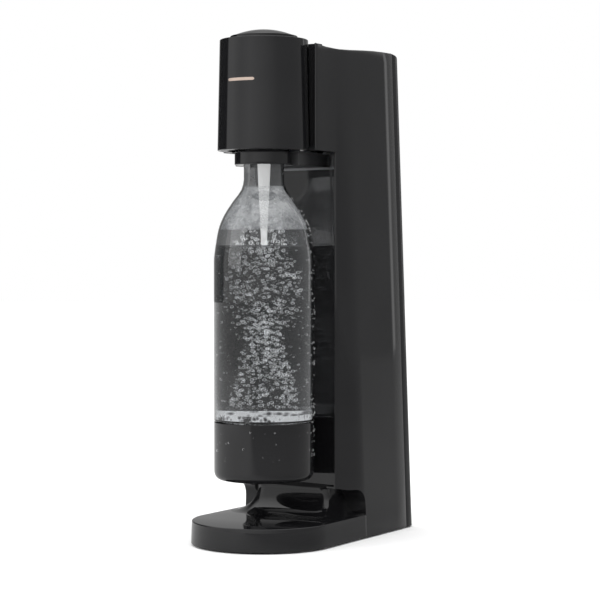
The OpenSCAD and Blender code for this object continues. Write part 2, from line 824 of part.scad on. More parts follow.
module nozzle_block() {
    color(dark) at_axis() difference() {
        union() {
            translate([0, 0, head_low - 0.5]) cylinder(r = 21, h = 3);
            translate([0, 0, head_low + 2]) cylinder(r = 12, h = 8);
            translate([0, 0, head_low + 9]) cylinder(r = 4, h = hose_end_z - head_low - 9 - move_gap);
        }
        translate([0, 0, head_low - 2]) cylinder(r = 4 + running, h = 7);
        translate([0, 0, head_low - 2]) cylinder(r = 1.2, h = 60);
        translate([12, 12, head_low - 2]) cylinder(r = 2 + running, h = 8);
    }
}

module vent_valve() {
    color(brass_colour) translate([12, axis_y + 12, head_low]) union() {
        cylinder(r = 2, h = 2.6);
        translate([0, 0, 2.5]) cylinder(r = 3.2, h = 5, $fn = 6);
    }
}

module nozzle() {
    z0 = collar_low - nozzle_len;
    color([0.95, 0.95, 0.94]) at_axis() difference() {
        union() {
            translate([0, 0, z0]) cylinder(r1 = nozzle_tip_r, r2 = nozzle_root_r, h = nozzle_len);
            translate([0, 0, collar_low - eps])
                cylinder(r = nozzle_root_r, h = seal_low + seal_t - collar_low + 2 * eps);
            translate([0, 0, seal_low + seal_t]) cylinder(r = 9, h = 1);
            translate([0, 0, seal_low + seal_t]) cylinder(r = 4, h = 5);
        }
        translate([0, 0, z0 - 1]) cylinder(r = 1.1, h = 200);
    }
}

module bottle_seal() {
    color(dark) at_axis() tube(neck_bore - 3.1, nozzle_root_r + 1.5, seal_low, seal_low + seal_t);
}

// ---- Bottle ----

bottle_h = head_low - 4.6 - bottle_low;
shoulder_low = bottle_low + bottle_h - 85;

// The bottle's outside radius at a height over its shoulder, from a circle to a neck.
function shoulder_points(off) = [for (i = [0 : 12])
    let (t = i / 12, s = t * t * (3 - 2 * t))
    [neck_r + (bottle_r - neck_r) * pow(cos(90 * t), 1.15) + 2 * t * (1 - t) - off,
        shoulder_low + 66 * t]];

module bottle() {
    top = bottle_low + bottle_h;
    w = bottle_wall;
    foot = 12;
    outside = concat(
        [[0, bottle_low + 8], [bottle_r - 2.5 - foot, bottle_low + 4]],
        [for (i = [1 : 6]) let (a = 15 * i)
            [bottle_r - 2.5 - foot + foot * sin(a), bottle_low + 4 + foot * (1 - cos(a))]],
        [[bottle_r - 2.5, cup_top], [bottle_r, cup_top + 1]],
        shoulder_points(0),
        [[neck_r, top]]);
    inside = concat(
        [[neck_r - w - 1, top]],
        [for (i = [12 : -1 : 0]) shoulder_points(w)[i] - [i == 12 ? 1 : 0, 0]],
        [[bottle_r - w, cup_top + 1 + w], [bottle_r - 2.5 - w, cup_top + w]],
        [for (i = [6 : -1 : 1]) let (a = 15 * i)
            [bottle_r - 2.5 - foot + (foot - w) * sin(a), bottle_low + 4 + foot - (foot - w) * cos(a)]],
        [[0, bottle_low + 8 + w]]);
    color([0.8, 0.85, 0.88, 0.5]) at_axis() rotate_extrude() polygon(concat(outside, inside));
}

module bottle_base_cup() {
    r = bottle_r;
    round = 14;
    t = 2.2;
    color(black) at_axis() rotate_extrude() polygon(concat(
        [[0, bottle_low + 1.5], [r - 14 - 4, bottle_low + 1.5], [r - round - 2, bottle_low]],
        [for (i = [0 : 8]) let (a = 90 * i / 8)
            [r - round + round * sin(a), bottle_low + round * (1 - cos(a))]],
        [[r, cup_top - fit_gap], [r - t, cup_top - fit_gap]],
        [for (i = [8 : -1 : 0]) let (a = 90 * i / 8)
            [r - round + (round - t) * sin(a), bottle_low + round - (round - t) * cos(a)]],
        [[0, bottle_low + t + 1.2]]));
}

main_housing();
rear_cover();
front_panel();
base_plate();
rubber_feet();
base_screws();
head_cover();
head_underside();
top_cover();
button_bezel();
button_guide();
carbonating_button();
button_spring();
chassis();
chassis_screws();
head_screws();
cylinder_cradle();
cylinder_body();
cylinder_sleeve();
cylinder_valve();
valve_washer();
valve_block();
valve_block_screws();
relief_valve();
valve_plunger();
plunger_seal();
actuator_lever();
lever_adjusting_screw();
lever_pivot_pin();
lever_clips();
tilt_yoke();
yoke_pivot_pins();
bottle_collar();
collar_screws();
nozzle_block();
nozzle();
bottle_seal();
vent_valve();
gas_hose();
hose_fittings();
bottle();
bottle_base_cup();
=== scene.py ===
"""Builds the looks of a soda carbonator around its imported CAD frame, in metres."""

import logging
import math
import random
from collections.abc import Callable, Iterable, Sequence
from dataclasses import dataclass, field
from enum import Enum

import bmesh
import bpy
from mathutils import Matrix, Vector


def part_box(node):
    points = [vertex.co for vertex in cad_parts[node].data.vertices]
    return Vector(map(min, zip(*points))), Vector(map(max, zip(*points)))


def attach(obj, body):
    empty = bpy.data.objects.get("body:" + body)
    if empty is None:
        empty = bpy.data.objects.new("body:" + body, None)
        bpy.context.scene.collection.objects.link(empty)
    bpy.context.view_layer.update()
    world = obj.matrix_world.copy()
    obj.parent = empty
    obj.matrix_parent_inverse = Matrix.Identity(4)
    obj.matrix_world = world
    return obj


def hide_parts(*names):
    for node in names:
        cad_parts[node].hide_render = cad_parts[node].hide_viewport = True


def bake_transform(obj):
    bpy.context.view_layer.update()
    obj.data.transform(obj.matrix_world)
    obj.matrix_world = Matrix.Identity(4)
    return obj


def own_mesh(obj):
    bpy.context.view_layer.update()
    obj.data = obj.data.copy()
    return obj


log = logging.getLogger("carbonator")
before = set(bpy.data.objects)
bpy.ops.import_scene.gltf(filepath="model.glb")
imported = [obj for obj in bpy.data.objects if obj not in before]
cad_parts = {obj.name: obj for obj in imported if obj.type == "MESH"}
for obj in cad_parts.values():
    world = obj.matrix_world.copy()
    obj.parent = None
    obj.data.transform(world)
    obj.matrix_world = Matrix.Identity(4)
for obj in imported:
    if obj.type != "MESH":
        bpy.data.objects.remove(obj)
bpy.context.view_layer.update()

Point2 = tuple[float, float]
Point3 = tuple[float, float, float]

SEED = 11
SMOOTH_ANGLE = math.radians(34)
WELD = 1e-6


# ---- Shape helpers ----


def smooth_step(t: float) -> float:
    """Returns t eased at both ends, held between 0 and 1."""
    t = min(1.0, max(0.0, t))
    return t * t * (3 - 2 * t)


def spaced(low: float, high: float, count: int) -> list[float]:
    """Returns count values evenly spaced from low to high."""
    return [low + (high - low) * i / (count - 1) for i in range(count)]


def along(table: Sequence[Point2], at: float) -> float:
    """Reads a table of (place, value) pairs by straight lines.

    Args:
        table: The pairs, in rising order of place.
        at: The place.

    Returns:
        The value there, held at the table's ends.
    """
    if at <= table[0][0]:
        return table[0][1]
    for (a, va), (b, vb) in zip(table, table[1:]):
        if at <= b:
            return va + (vb - va) * (at - a) / (b - a)
    return table[-1][1]


def rounded(corners: Sequence[Point3], steps: int = 5) -> list[Point2]:
    """Rounds the corners of a closed outline.

    Args:
        corners: (a, b, radius) for each corner, in order round the outline.
        steps: Points along each rounded corner.

    Returns:
        The outline's points.
    """
    out: list[Point2] = []
    for i, (a, b, radius) in enumerate(corners):
        here = Vector((a, b))
        before = Vector(corners[i - 1][:2]) - here
        after = Vector(corners[(i + 1) % len(corners)][:2]) - here
        if radius <= 0:
            out.append((a, b))
            continue
        turn = before.angle(after)
        reach = min(radius / math.tan(turn / 2), before.length * 0.49, after.length * 0.49)
        start, end = here + before.normalized() * reach, here + after.normalized() * reach
        for k in range(steps + 1):
            s = k / steps
            p = start * (1 - s) ** 2 + here * (2 * s * (1 - s)) + end * s**2
            out.append((p.x, p.y))
    return out


@dataclass
class Skin:
    """Vertices and faces gathered for one piece."""

    points: list[Point3] = field(default_factory=list)
    faces: list[tuple[int, ...]] = field(default_factory=list)

    def loft(
        self,
        rings: Sequence[Sequence[Point3]],
        closed: bool = True,
        caps: bool = True,
        folded_caps: bool = False,
    ) -> None:
        """Joins rings of equal length with quads.

        Args:
            rings: The rings, in order.
            closed: Whether each ring's last point joins its first.
            caps: Whether the two end rings are filled.
            folded_caps: Fill each end with strips that join point i to point n - 1 - i.
        """
        first = len(self.points)
        n = len(rings[0])
        for ring in rings:
            self.points.extend(ring)
        for k in range(len(rings) - 1):
            low = first + k * n
            for i in range(n if closed else n - 1):
                j = (i + 1) % n
                self.faces.append((low + i, low + j, low + n + j, low + n + i))
        if not caps:
            return
        for low in (first, first + (len(rings) - 1) * n):
            if folded_caps:
                self.folded_end(low, n)
            else:
                self.faces.append(tuple(range(low, low + n)))

    def folded_end(self, low: int, n: int) -> None:
        """Fills the ring of n points from point low with strips that join its two halves."""
        for i in range(n // 2 - 1):
            self.faces.append((low + i, low + i + 1, low + n - 2 - i, low + n - 1 - i))

    def turned(self, profile: Sequence[Point2], centre: Point2, steps: int = 128) -> None:
        """Turns a closed outline of (radius, z) points about an upright line at centre."""
        rings = []
        for r, z in [*profile, profile[0]]:
            rings.append(
                [
                    (
                        centre[0] + r * math.cos(2 * math.pi * k / steps),
                        centre[1] + r * math.sin(2 * math.pi * k / steps),
                        z,
                    )
                    for k in range(steps)
                ]
            )
        self.loft(rings, caps=False)

    def pipe(self, path: Sequence[Vector], radius: float, sides: int = 14) -> None:
        """Sweeps a round section along a path, with both ends filled."""
        rings = []
        side = Vector((1, 0, 0))
        for i, p in enumerate(path):
            ahead = (path[min(i + 1, len(path) - 1)] - path[max(i - 1, 0)]).normalized()
            side = (side - ahead * side.dot(ahead)).normalized()
            other = ahead.cross(side)
            angles = [2 * math.pi * k / sides for k in range(sides)]
            rings.append([tuple(p + radius * (side * math.cos(a) + other * math.sin(a))) for a in angles])
        self.loft(rings)

    def mirrored(self) -> None:
        """Adds the mirror image across x = 0."""
        n = len(self.points)
        self.points.extend([(-x, y, z) for x, y, z in self.points])
        self.faces.extend([tuple(i + n for i in reversed(f)) for f in list(self.faces)])

    def piece(self, name: str, finish: "Finish", body: str, *nodes: str) -> bpy.types.Object:
        """Makes the Blender object, dresses it, and rides it on its body.

        Args:
            name: The piece's name.
            finish: Its finish.
            body: The CAD body that it moves with.
            nodes: The CAD nodes that it stands for.

        Returns:
            The new object.
        """
        mesh = bpy.data.meshes.new(name)
        mesh.from_pydata(self.points, [], self.faces)
        work = bmesh.new()
        work.from_mesh(mesh)
        bmesh.ops.remove_doubles(work, verts=work.verts, dist=WELD)
        bmesh.ops.dissolve_degenerate(work, edges=work.edges, dist=WELD)
        bmesh.ops.recalc_face_normals(work, faces=work.faces)
        work.to_mesh(mesh)
        work.free()
        mesh.polygons.foreach_set("use_smooth", [True] * len(mesh.polygons))
        mesh.set_sharp_from_angle(angle=SMOOTH_ANGLE)
        obj = bpy.data.objects.new(name, mesh)
        bpy.context.scene.collection.objects.link(obj)
        mesh.materials.append(finish.material())
        if body:
            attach(obj, body)
        if nodes:
            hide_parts(*nodes)
        log.info("piece %s: %d faces, finish %s", name, len(mesh.polygons), finish.name)
        return obj


def cut_away(obj: bpy.types.Object, low: Point3, high: Point3) -> None:
    """Cuts a box from low to high out of a piece."""
    cutter = Skin()
    rings = []
    for z in (low[2], high[2]):
        rings.append([(low[0], low[1], z), (high[0], low[1], z), (high[0], high[1], z), (low[0], high[1], z)])
    cutter.loft(rings)
    mesh = bpy.data.meshes.new("cutter")
    mesh.from_pydata(cutter.points, [], cutter.faces)
    box = bpy.data.objects.new("cutter", mesh)
    bpy.context.scene.collection.objects.link(box)
    work = bmesh.new()
    work.from_mesh(mesh)
    bmesh.ops.recalc_face_normals(work, faces=work.faces)
    work.to_mesh(mesh)
    work.free()
    change = obj.modifiers.new("cut", "BOOLEAN")
    change.operation, change.object, change.solver = "DIFFERENCE", box, "EXACT"
    bpy.context.view_layer.update()
    result = bpy.data.meshes.new_from_object(obj.evaluated_get(bpy.context.evaluated_depsgraph_get()))
    obj.modifiers.clear()
    obj.data = result
    result.set_sharp_from_angle(angle=SMOOTH_ANGLE)
    bpy.data.objects.remove(box)


# ---- Shader effects ----


class Grain(Enum):
    """The effects that finishes share, each one a node group."""

    MOULDED = "moulded_skin"
    BRUSHED = "brushed_metal"
    CLOUDED = "clouded_film"


class Effect:
    """Builds one node group, with named sockets and a short way to add nodes."""

    def __init__(self, name: str, inputs: dict[str, float], outputs: dict[str, str]) -> None:
        """Makes the empty group.

        Args:
            name: The group's name.
            inputs: Each number input and its first value.
            outputs: Each output and its socket type.
        """
        self.tree = bpy.data.node_groups.new(name, "ShaderNodeTree")
        self.tree.interface.new_socket("Color", in_out="INPUT", socket_type="NodeSocketColor")
        for key, value in inputs.items():
            socket = self.tree.interface.new_socket(key, in_out="INPUT", socket_type="NodeSocketFloat")
            socket.default_value = value
        for key, kind in outputs.items():
            self.tree.interface.new_socket(key, in_out="OUTPUT", socket_type=kind)
        self.given = self.tree.nodes.new("NodeGroupInput").outputs
        self.result = self.tree.nodes.new("NodeGroupOutput").inputs

    def node(self, kind: str, **settings: object) -> bpy.types.Node:
        """Adds a node of a kind, with its own settings."""
        made = self.tree.nodes.new(kind)
        for key, value in settings.items():
            setattr(made, key, value)
        return made

    def link(self, source: bpy.types.NodeSocket, target: bpy.types.NodeSocket) -> None:
        """Joins two sockets."""
        self.tree.links.new(source, target)

    def place(self) -> bpy.types.NodeSocket:
        """Returns the socket that gives a place on the object, in metres."""
        return self.node("ShaderNodeTexCoord").outputs["Object"]

    def noise(self, scale: float, detail: float = 3.0, stretch: Point3 | None = None) -> bpy.types.NodeSocket:
        """Adds noise over the object.

        Args:
            scale: Waves to the metre.
            detail: Octaves.
            stretch: How much faster it runs along x, y and z.

        Returns:
            The noise's value socket.
        """
        noise = self.node("ShaderNodeTexNoise")
        noise.inputs["Scale"].default_value = scale
        noise.inputs["Detail"].default_value = detail
        source = self.place()
        if stretch:
            mapping = self.node("ShaderNodeMapping")
            mapping.inputs["Scale"].default_value = stretch
            self.link(source, mapping.inputs["Vector"])
            source = mapping.outputs["Vector"]
        self.link(source, noise.inputs["Vector"])
        return noise.outputs["Fac"]

    def maths(self, kind: str, a: object, b: object) -> bpy.types.NodeSocket:
        """Adds a Math node.

        Args:
            kind: Its operation.
            a: A socket or a number.
            b: A socket or a number.

        Returns:
            Its value socket.
        """
        made = self.node("ShaderNodeMath", operation=kind)
        for socket, value in zip(made.inputs, (a, b)):
            if isinstance(value, (int, float)):
                socket.default_value = value
            else:
                self.link(value, socket)
        return made.outputs[0]

    def ramp(self, source: bpy.types.NodeSocket, low: float, high: float) -> bpy.types.NodeSocket:
        """Returns a socket that goes from 0 to 1 as source goes from low to high."""
        made = self.node("ShaderNodeMapRange", clamp=True)
        made.inputs["From Min"].default_value = low
        made.inputs["From Max"].default_value = high
        self.link(source, made.inputs["Value"])
        return made.outputs["Result"]

    def mixed(
        self, share: bpy.types.NodeSocket, first: bpy.types.NodeSocket, second: object
    ) -> bpy.types.NodeSocket:
        """Mixes two colours.

        Args:
            share: How much of the second.
            first: The first colour's socket.
            second: The second colour, as a socket or as four numbers.

        Returns:
            The mixed colour's socket.
        """
        made = self.node("ShaderNodeMix", data_type="RGBA")
        self.link(share, made.inputs[0])
        self.link(first, made.inputs[6])
        if isinstance(second, tuple):
            made.inputs[7].default_value = second
        else:
            self.link(second, made.inputs[7])
        return made.outputs[2]


SURFACE_OUT = {"Color": "NodeSocketColor", "Roughness": "NodeSocketFloat", "Height": "NodeSocketFloat"}


def moulded_skin() -> Effect:
    """Moulded plastic or rubber: faint waviness, fine grain, dust in broad patches, worn edges."""
    fx = Effect(Grain.MOULDED.value, {"Rough": 0.1, "Vary": 0.3, "Dust": 0.1, "Grain": 900.0}, SURFACE_OUT)
    broad = fx.noise(14.0, 4.0)
    fine = fx.node("ShaderNodeTexNoise")
    fine.inputs["Detail"].default_value = 2.0
    fx.link(fx.given["Grain"], fine.inputs["Scale"])
    fx.link(fx.place(), fine.inputs["Vector"])
    edges = fx.ramp(fx.node("ShaderNodeNewGeometry").outputs["Pointiness"], 0.52, 0.62)
    dust = fx.maths("MULTIPLY", fx.ramp(broad, 0.45, 0.75), fx.given["Dust"])
    worn = fx.maths("MULTIPLY", edges, fx.given["Dust"])
    shown = fx.maths("ADD", dust, worn)
    fx.link(fx.mixed(shown, fx.given["Color"], (0.42, 0.42, 0.43, 1.0)), fx.result["Color"])
    swing = fx.maths("MULTIPLY", fx.maths("SUBTRACT", broad, 0.5), fx.given["Vary"])
    rough = fx.maths("MULTIPLY", fx.given["Rough"], fx.maths("ADD", 1.0, swing))
    fx.link(fx.maths("ADD", rough, fx.maths("MULTIPLY", shown, 0.3)), fx.result["Roughness"])
    fx.link(fx.maths("ADD", fine.outputs["Fac"], fx.maths("MULTIPLY", broad, 2.0)), fx.result["Height"])
    return fx


def brushed_metal() -> Effect:
    """Metal: fine lines across it, cloudy patches, and brighter rubbed edges."""
    fx = Effect(Grain.BRUSHED.value, {"Rough": 0.3, "Vary": 0.5, "Dust": 0.1, "Grain": 500.0}, SURFACE_OUT)
    lines = fx.noise(60.0, 5.0, (1.0, 1.0, 28.0))
    cloud = fx.noise(38.0, 4.0)
    fine = fx.node("ShaderNodeTexNoise")
    fx.link(fx.given["Grain"], fine.inputs["Scale"])
    fx.link(fx.place(), fine.inputs["Vector"])
    edges = fx.ramp(fx.node("ShaderNodeNewGeometry").outputs["Pointiness"], 0.52, 0.6)
    dark = fx.maths("MULTIPLY", fx.ramp(cloud, 0.4, 0.8), fx.given["Dust"])
    dulled = fx.mixed(dark, fx.given["Color"], (0.09, 0.085, 0.08, 1.0))
    rubbed = fx.maths("MULTIPLY", edges, 0.35)
    fx.link(fx.mixed(rubbed, dulled, (0.92, 0.92, 0.92, 1.0)), fx.result["Color"])
    swing = fx.maths("MULTIPLY", fx.maths("SUBTRACT", lines, 0.5), fx.given["Vary"])
    fx.link(fx.maths("MULTIPLY", fx.given["Rough"], fx.maths("ADD", 1.0, swing)), fx.result["Roughness"])
    fx.link(fx.maths("ADD", lines, fine.outputs["Fac"]), fx.result["Height"])
    return fx


def clouded_film() -> Effect:
    """A wet or printed film: cells and clouds that give a mask."""
    fx = Effect(
        Grain.CLOUDED.value,
        {"Grain": 200.0, "Low": 0.3, "High": 0.7},
        {"Color": "NodeSocketColor", "Mask": "NodeSocketFloat", "Height": "NodeSocketFloat"},
    )
    cloud = fx.noise(70.0, 6.0)
    cells = fx.node("ShaderNodeTexVoronoi")
    fx.link(fx.given["Grain"], cells.inputs["Scale"])
    fx.link(fx.place(), cells.inputs["Vector"])
    both = fx.maths("ADD", cloud, fx.maths("MULTIPLY", cells.outputs["Distance"], 0.35))
    span = fx.node("ShaderNodeMapRange", clamp=True)
    fx.link(both, span.inputs["Value"])
    fx.link(fx.given["Low"], span.inputs["From Min"])
    fx.link(fx.given["High"], span.inputs["From Max"])
    fx.link(span.outputs["Result"], fx.result["Mask"])
    fx.link(fx.mixed(span.outputs["Result"], fx.given["Color"], (0.95, 0.96, 0.97, 1.0)), fx.result["Color"])
    fx.link(cells.outputs["Distance"], fx.result["Height"])
    return fx


BUILDERS: dict[Grain, Callable[[], Effect]] = {
    Grain.MOULDED: moulded_skin,
    Grain.BRUSHED: brushed_metal,
    Grain.CLOUDED: clouded_film,
}


def effect_node(tree: bpy.types.NodeTree, grain: Grain) -> bpy.types.Node:
    """Places a shared effect in a material, and builds it the first time.

    Args:
        tree: The material's node tree.
        grain: Which effect.

    Returns:
        The group node.
    """
    if grain.value not in bpy.data.node_groups:
        BUILDERS[grain]()
    node = tree.nodes.new("ShaderNodeGroup")
    node.node_tree = bpy.data.node_groups[grain.value]
    return node


# ---- Finishes ----


@dataclass(frozen=True)
class Finish:
    """A surface: its colour, how it shines, the effect that varies it, and any painted glow."""

    name: str
    slot: str
    colour: Point3
    rough: float = 0.3
    metallic: float = 0.0
    coat: float = 0.0
    grain: Grain = Grain.MOULDED
    vary: float = 0.4
    dust: float = 0.05
    fineness: float = 900.0
    relief: float = 0.00001
    specular: float = 0.5
    # Emission strength: painted light, a glow on parts that are no lamp.
    painted_glow: float = 0.0

    def start(self) -> tuple[bpy.types.Material, bpy.types.Node, bpy.types.NodeTree]:
        """Makes the material. Returns it, its shader and its node tree."""
        material = bpy.data.materials.new(self.name)
        material.use_nodes = True
        tree = material.node_tree
        return material, tree.nodes["Principled BSDF"], tree

    def effect(self, tree: bpy.types.NodeTree, grain: Grain, **values: float) -> bpy.types.Node:
        """Places a shared effect in this finish's colour.

        Args:
            tree: The material's node tree.
            grain: Which effect.
            values: The effect's numbers.

        Returns:
            The group node.
        """
        fx = effect_node(tree, grain)
        fx.inputs["Color"].default_value = (*self.colour, 1.0)
        for key, value in values.items():
            fx.inputs[key].default_value = value
        return fx

    def paint_glow(self, tree: bpy.types.NodeTree, shader: bpy.types.Node, colour: bpy.types.NodeSocket) -> None:
        """Paints light on the surface as emission in a colour where the finish has a painted glow, though the
        part is no lamp.
        """
        if self.painted_glow:
            tree.links.new(colour, shader.inputs["Emission Color"])
            shader.inputs["Emission Strength"].default_value = self.painted_glow

    def relief_from(
        self, tree: bpy.types.NodeTree, height: bpy.types.NodeSocket, shader: bpy.types.Node
    ) -> None:
        """Bumps the shader's surface by a height."""
        bump = tree.nodes.new("ShaderNodeBump")
        bump.inputs["Strength"].default_value = 1.0
        bump.inputs["Distance"].default_value = self.relief
        tree.links.new(height, bump.inputs["Height"])
        tree.links.new(bump.outputs["Normal"], shader.inputs["Normal"])

    def material(self) -> bpy.types.Material:
        """Returns the finish's material, made the first time it is asked for."""
        if self.name in bpy.data.materials:
            return bpy.data.materials[self.name]
        return self.made()

    def made(self) -> bpy.types.Material:
        """Makes the material from the shared effect and this finish's values."""
        material, shader, tree = self.start()
        shader.inputs["Metallic"].default_value = self.metallic
        shader.inputs["Coat Weight"].default_value = self.coat
        shader.inputs["Coat Roughness"].default_value = 0.04
        shader.inputs["Specular IOR Level"].default_value = self.specular
        fx = self.effect(
            tree, self.grain, Rough=self.rough, Vary=self.vary, Dust=self.dust, Grain=self.fineness
        )
        tree.links.new(fx.outputs["Color"], shader.inputs["Base Color"])
        tree.links.new(fx.outputs["Roughness"], shader.inputs["Roughness"])
        self.paint_glow(tree, shader, fx.outputs["Color"])
        self.relief_from(tree, fx.outputs["Height"], shader)
        return material


@dataclass(frozen=True)
class ClearFinish(Finish):
    """A clear plastic or liquid that bends the light."""

    index: float = 1.45

    def made(self) -> bpy.types.Material:
        """Makes the clear material, faintly uneven over its surface."""
        material, shader, tree = self.start()
        shader.inputs["Transmission Weight"].default_value = 1.0
        shader.inputs["IOR"].default_value = self.index
        fx = self.effect(
            tree, Grain.MOULDED, Rough=self.rough, Vary=self.vary, Dust=0.0, Grain=self.fineness
        )
        tree.links.new(fx.outputs["Color"], shader.inputs["Base Color"])
        tree.links.new(fx.outputs["Roughness"], shader.inputs["Roughness"])
        self.relief_from(tree, fx.outputs["Height"], shader)
        return material


@dataclass(frozen=True)
class FilmFinish(Finish):
    """A thin broken film, such as foam or the painted highlight on the bottle's shoulder, that shows where its
    mask is high.
    """

    low: float = 0.3
    high: float = 0.7
    thin: float = 0.1
    thick: float = 0.8

    def made(self) -> bpy.types.Material:
        """Makes the film, see-through by its mask."""
        material, shader, tree = self.start()
        shader.inputs["Roughness"].default_value = self.rough
        fx = self.effect(tree, Grain.CLOUDED, Grain=self.fineness, Low=self.low, High=self.high)
        tree.links.new(fx.outputs["Color"], shader.inputs["Base Color"])
        cover = tree.nodes.new("ShaderNodeMapRange")
        cover.inputs["To Min"].default_value = self.thin
        cover.inputs["To Max"].default_value = self.thick
        tree.links.new(fx.outputs["Mask"], cover.inputs["Value"])
        tree.links.new(cover.outputs["Result"], shader.inputs["Alpha"])
        self.paint_glow(tree, shader, fx.outputs["Color"])
        self.relief_from(tree, fx.outputs["Height"], shader)
        return material


@dataclass(frozen=True)
class BubbleFinish(Finish):
    """Gas bubbles in the drink: clear in the middle, bright round the rim from a painted glow."""

    def made(self) -> bpy.types.Material:
        """Makes the bubble skin, with its rim from the way it faces."""
        material, shader, tree = self.start()
        shader.inputs["Roughness"].default_value = self.rough
        fx = self.effect(tree, Grain.CLOUDED, Grain=self.fineness)
        tree.links.new(fx.outputs["Color"], shader.inputs["Base Color"])
        self.paint_glow(tree, shader, fx.outputs["Color"])
        rim = tree.nodes.new("ShaderNodeLayerWeight")
        rim.inputs["Blend"].default_value = 0.5
        span = tree.nodes.new("ShaderNodeMapRange")
        span.inputs["From Min"].default_value = 0.5
        span.inputs["From Max"].default_value = 0.85
        span.inputs["To Min"].default_value = 0.03
        span.inputs["To Max"].default_value = 0.85
        tree.links.new(rim.outputs["Facing"], span.inputs["Value"])
        tree.links.new(span.outputs["Result"], shader.inputs["Alpha"])
        return material


GLOSS = Finish("gloss_black_plastic", "gloss_black", (0.0065, 0.0065, 0.0072), rough=0.06, vary=0.3,
               dust=0.006, fineness=500.0, relief=0.000002)
SATIN = Finish("satin_black_plastic", "satin_black", (0.012, 0.012, 0.013), rough=0.26, vary=0.3, dust=0.012,
               fineness=1400.0, relief=0.000012)
RUBBER = Finish("black_rubber", "rubber", (0.018, 0.018, 0.018), rough=0.78, dust=0.08,
                fineness=1500.0, relief=0.00003)
GASKET = Finish("seal_rubber", "gasket", (0.03, 0.028, 0.028), rough=0.62, dust=0.03,
                fineness=1300.0, relief=0.00002)
ZINC = Finish("zinc_plated_steel", "zinc_steel", (0.62, 0.62, 0.60), rough=0.28, metallic=1.0,
              grain=Grain.BRUSHED)
SHEET = Finish("galvanised_sheet", "galvanised_sheet", (0.56, 0.57, 0.58), rough=0.42, metallic=1.0,
               grain=Grain.BRUSHED, dust=0.2, relief=0.00003)
WHITE = Finish("white_plastic", "white_plastic", (0.86, 0.86, 0.85), rough=0.32, dust=0.02, relief=0.000008)
# The nozzle's glow is painted light: emission standing in for the light that would reach the nozzle through
# the bottle.
NOZZLE = Finish("white_plastic_painted_glow", "white_plastic", (0.86, 0.86, 0.85), rough=0.32, dust=0.02,
                relief=0.000008, painted_glow=0.5)
CAST = Finish("cast_zinc", "cast_zinc", (0.42, 0.42, 0.43), rough=0.5, metallic=1.0, grain=Grain.BRUSHED,
              dust=0.35, fineness=900.0, relief=0.00006)
ALUMINIUM = Finish("satin_aluminium", "aluminium", (0.72, 0.73, 0.74), rough=0.36, metallic=1.0,
                   grain=Grain.BRUSHED)
SLEEVE = Finish("pale_sleeve_film", "sleeve", (0.62, 0.80, 0.76), rough=0.3, dust=0.06, fineness=700.0)
BRASS = Finish("turned_brass", "brass", (0.72, 0.49, 0.20), rough=0.26, metallic=1.0,
               grain=Grain.BRUSHED, dust=0.12)
HOSE = Finish("braid_free_hose", "hose", (0.05, 0.05, 0.055), rough=0.45, dust=0.04)
COPPER = Finish("copper_foil", "gloss_black", (0.62, 0.40, 0.27), rough=0.3, metallic=1.0,
                grain=Grain.BRUSHED)
CLEAR = ClearFinish("clear_bottle_plastic", "clear_bottle", (0.97, 0.98, 0.99), rough=0.015, index=1.5,
                    fineness=60.0, relief=0.00001)
# The drink's grey colour is painted shade: it darkens what is seen through the drink.
WATER = ClearFinish("sparkling_water", "clear_bottle", (0.55, 0.56, 0.57), rough=0.0, index=1.33,
                    fineness=90.0, relief=0.0)
# Painted highlight on the shoulder, shown as a glowing film of mist: it stands in for the bright reflection of
# light on the upper shoulder.
SHOULDER_HIGHLIGHT = FilmFinish("shoulder_painted_highlight", "clear_bottle", (0.5, 0.52, 0.55), rough=0.5, fineness=420.0,
                  relief=0.0004, low=0.4, high=0.85, thin=0.04, thick=0.34, painted_glow=0.22)
# The foam band is real; its glow is painted light that brightens it.
FOAM = FilmFinish("foam_band", "clear_bottle", (0.3, 0.3, 0.31), rough=0.5, fineness=330.0,
                  relief=0.0008, low=0.52, high=0.72, thin=0.05, thick=1.0, painted_glow=0.55)
# Beads, bubbles and splashes glow: painted highlights, brightest round their rims.
BEAD = BubbleFinish("water_beads", "clear_bottle", (0.8, 0.82, 0.84), rough=0.05, fineness=900.0, painted_glow=0.35)
BUBBLE = BubbleFinish("bubble_skin", "clear_bottle", (0.8, 0.82, 0.84), rough=0.1, fineness=900.0, painted_glow=1.1)


# ---- Sizes taken from the frame ----


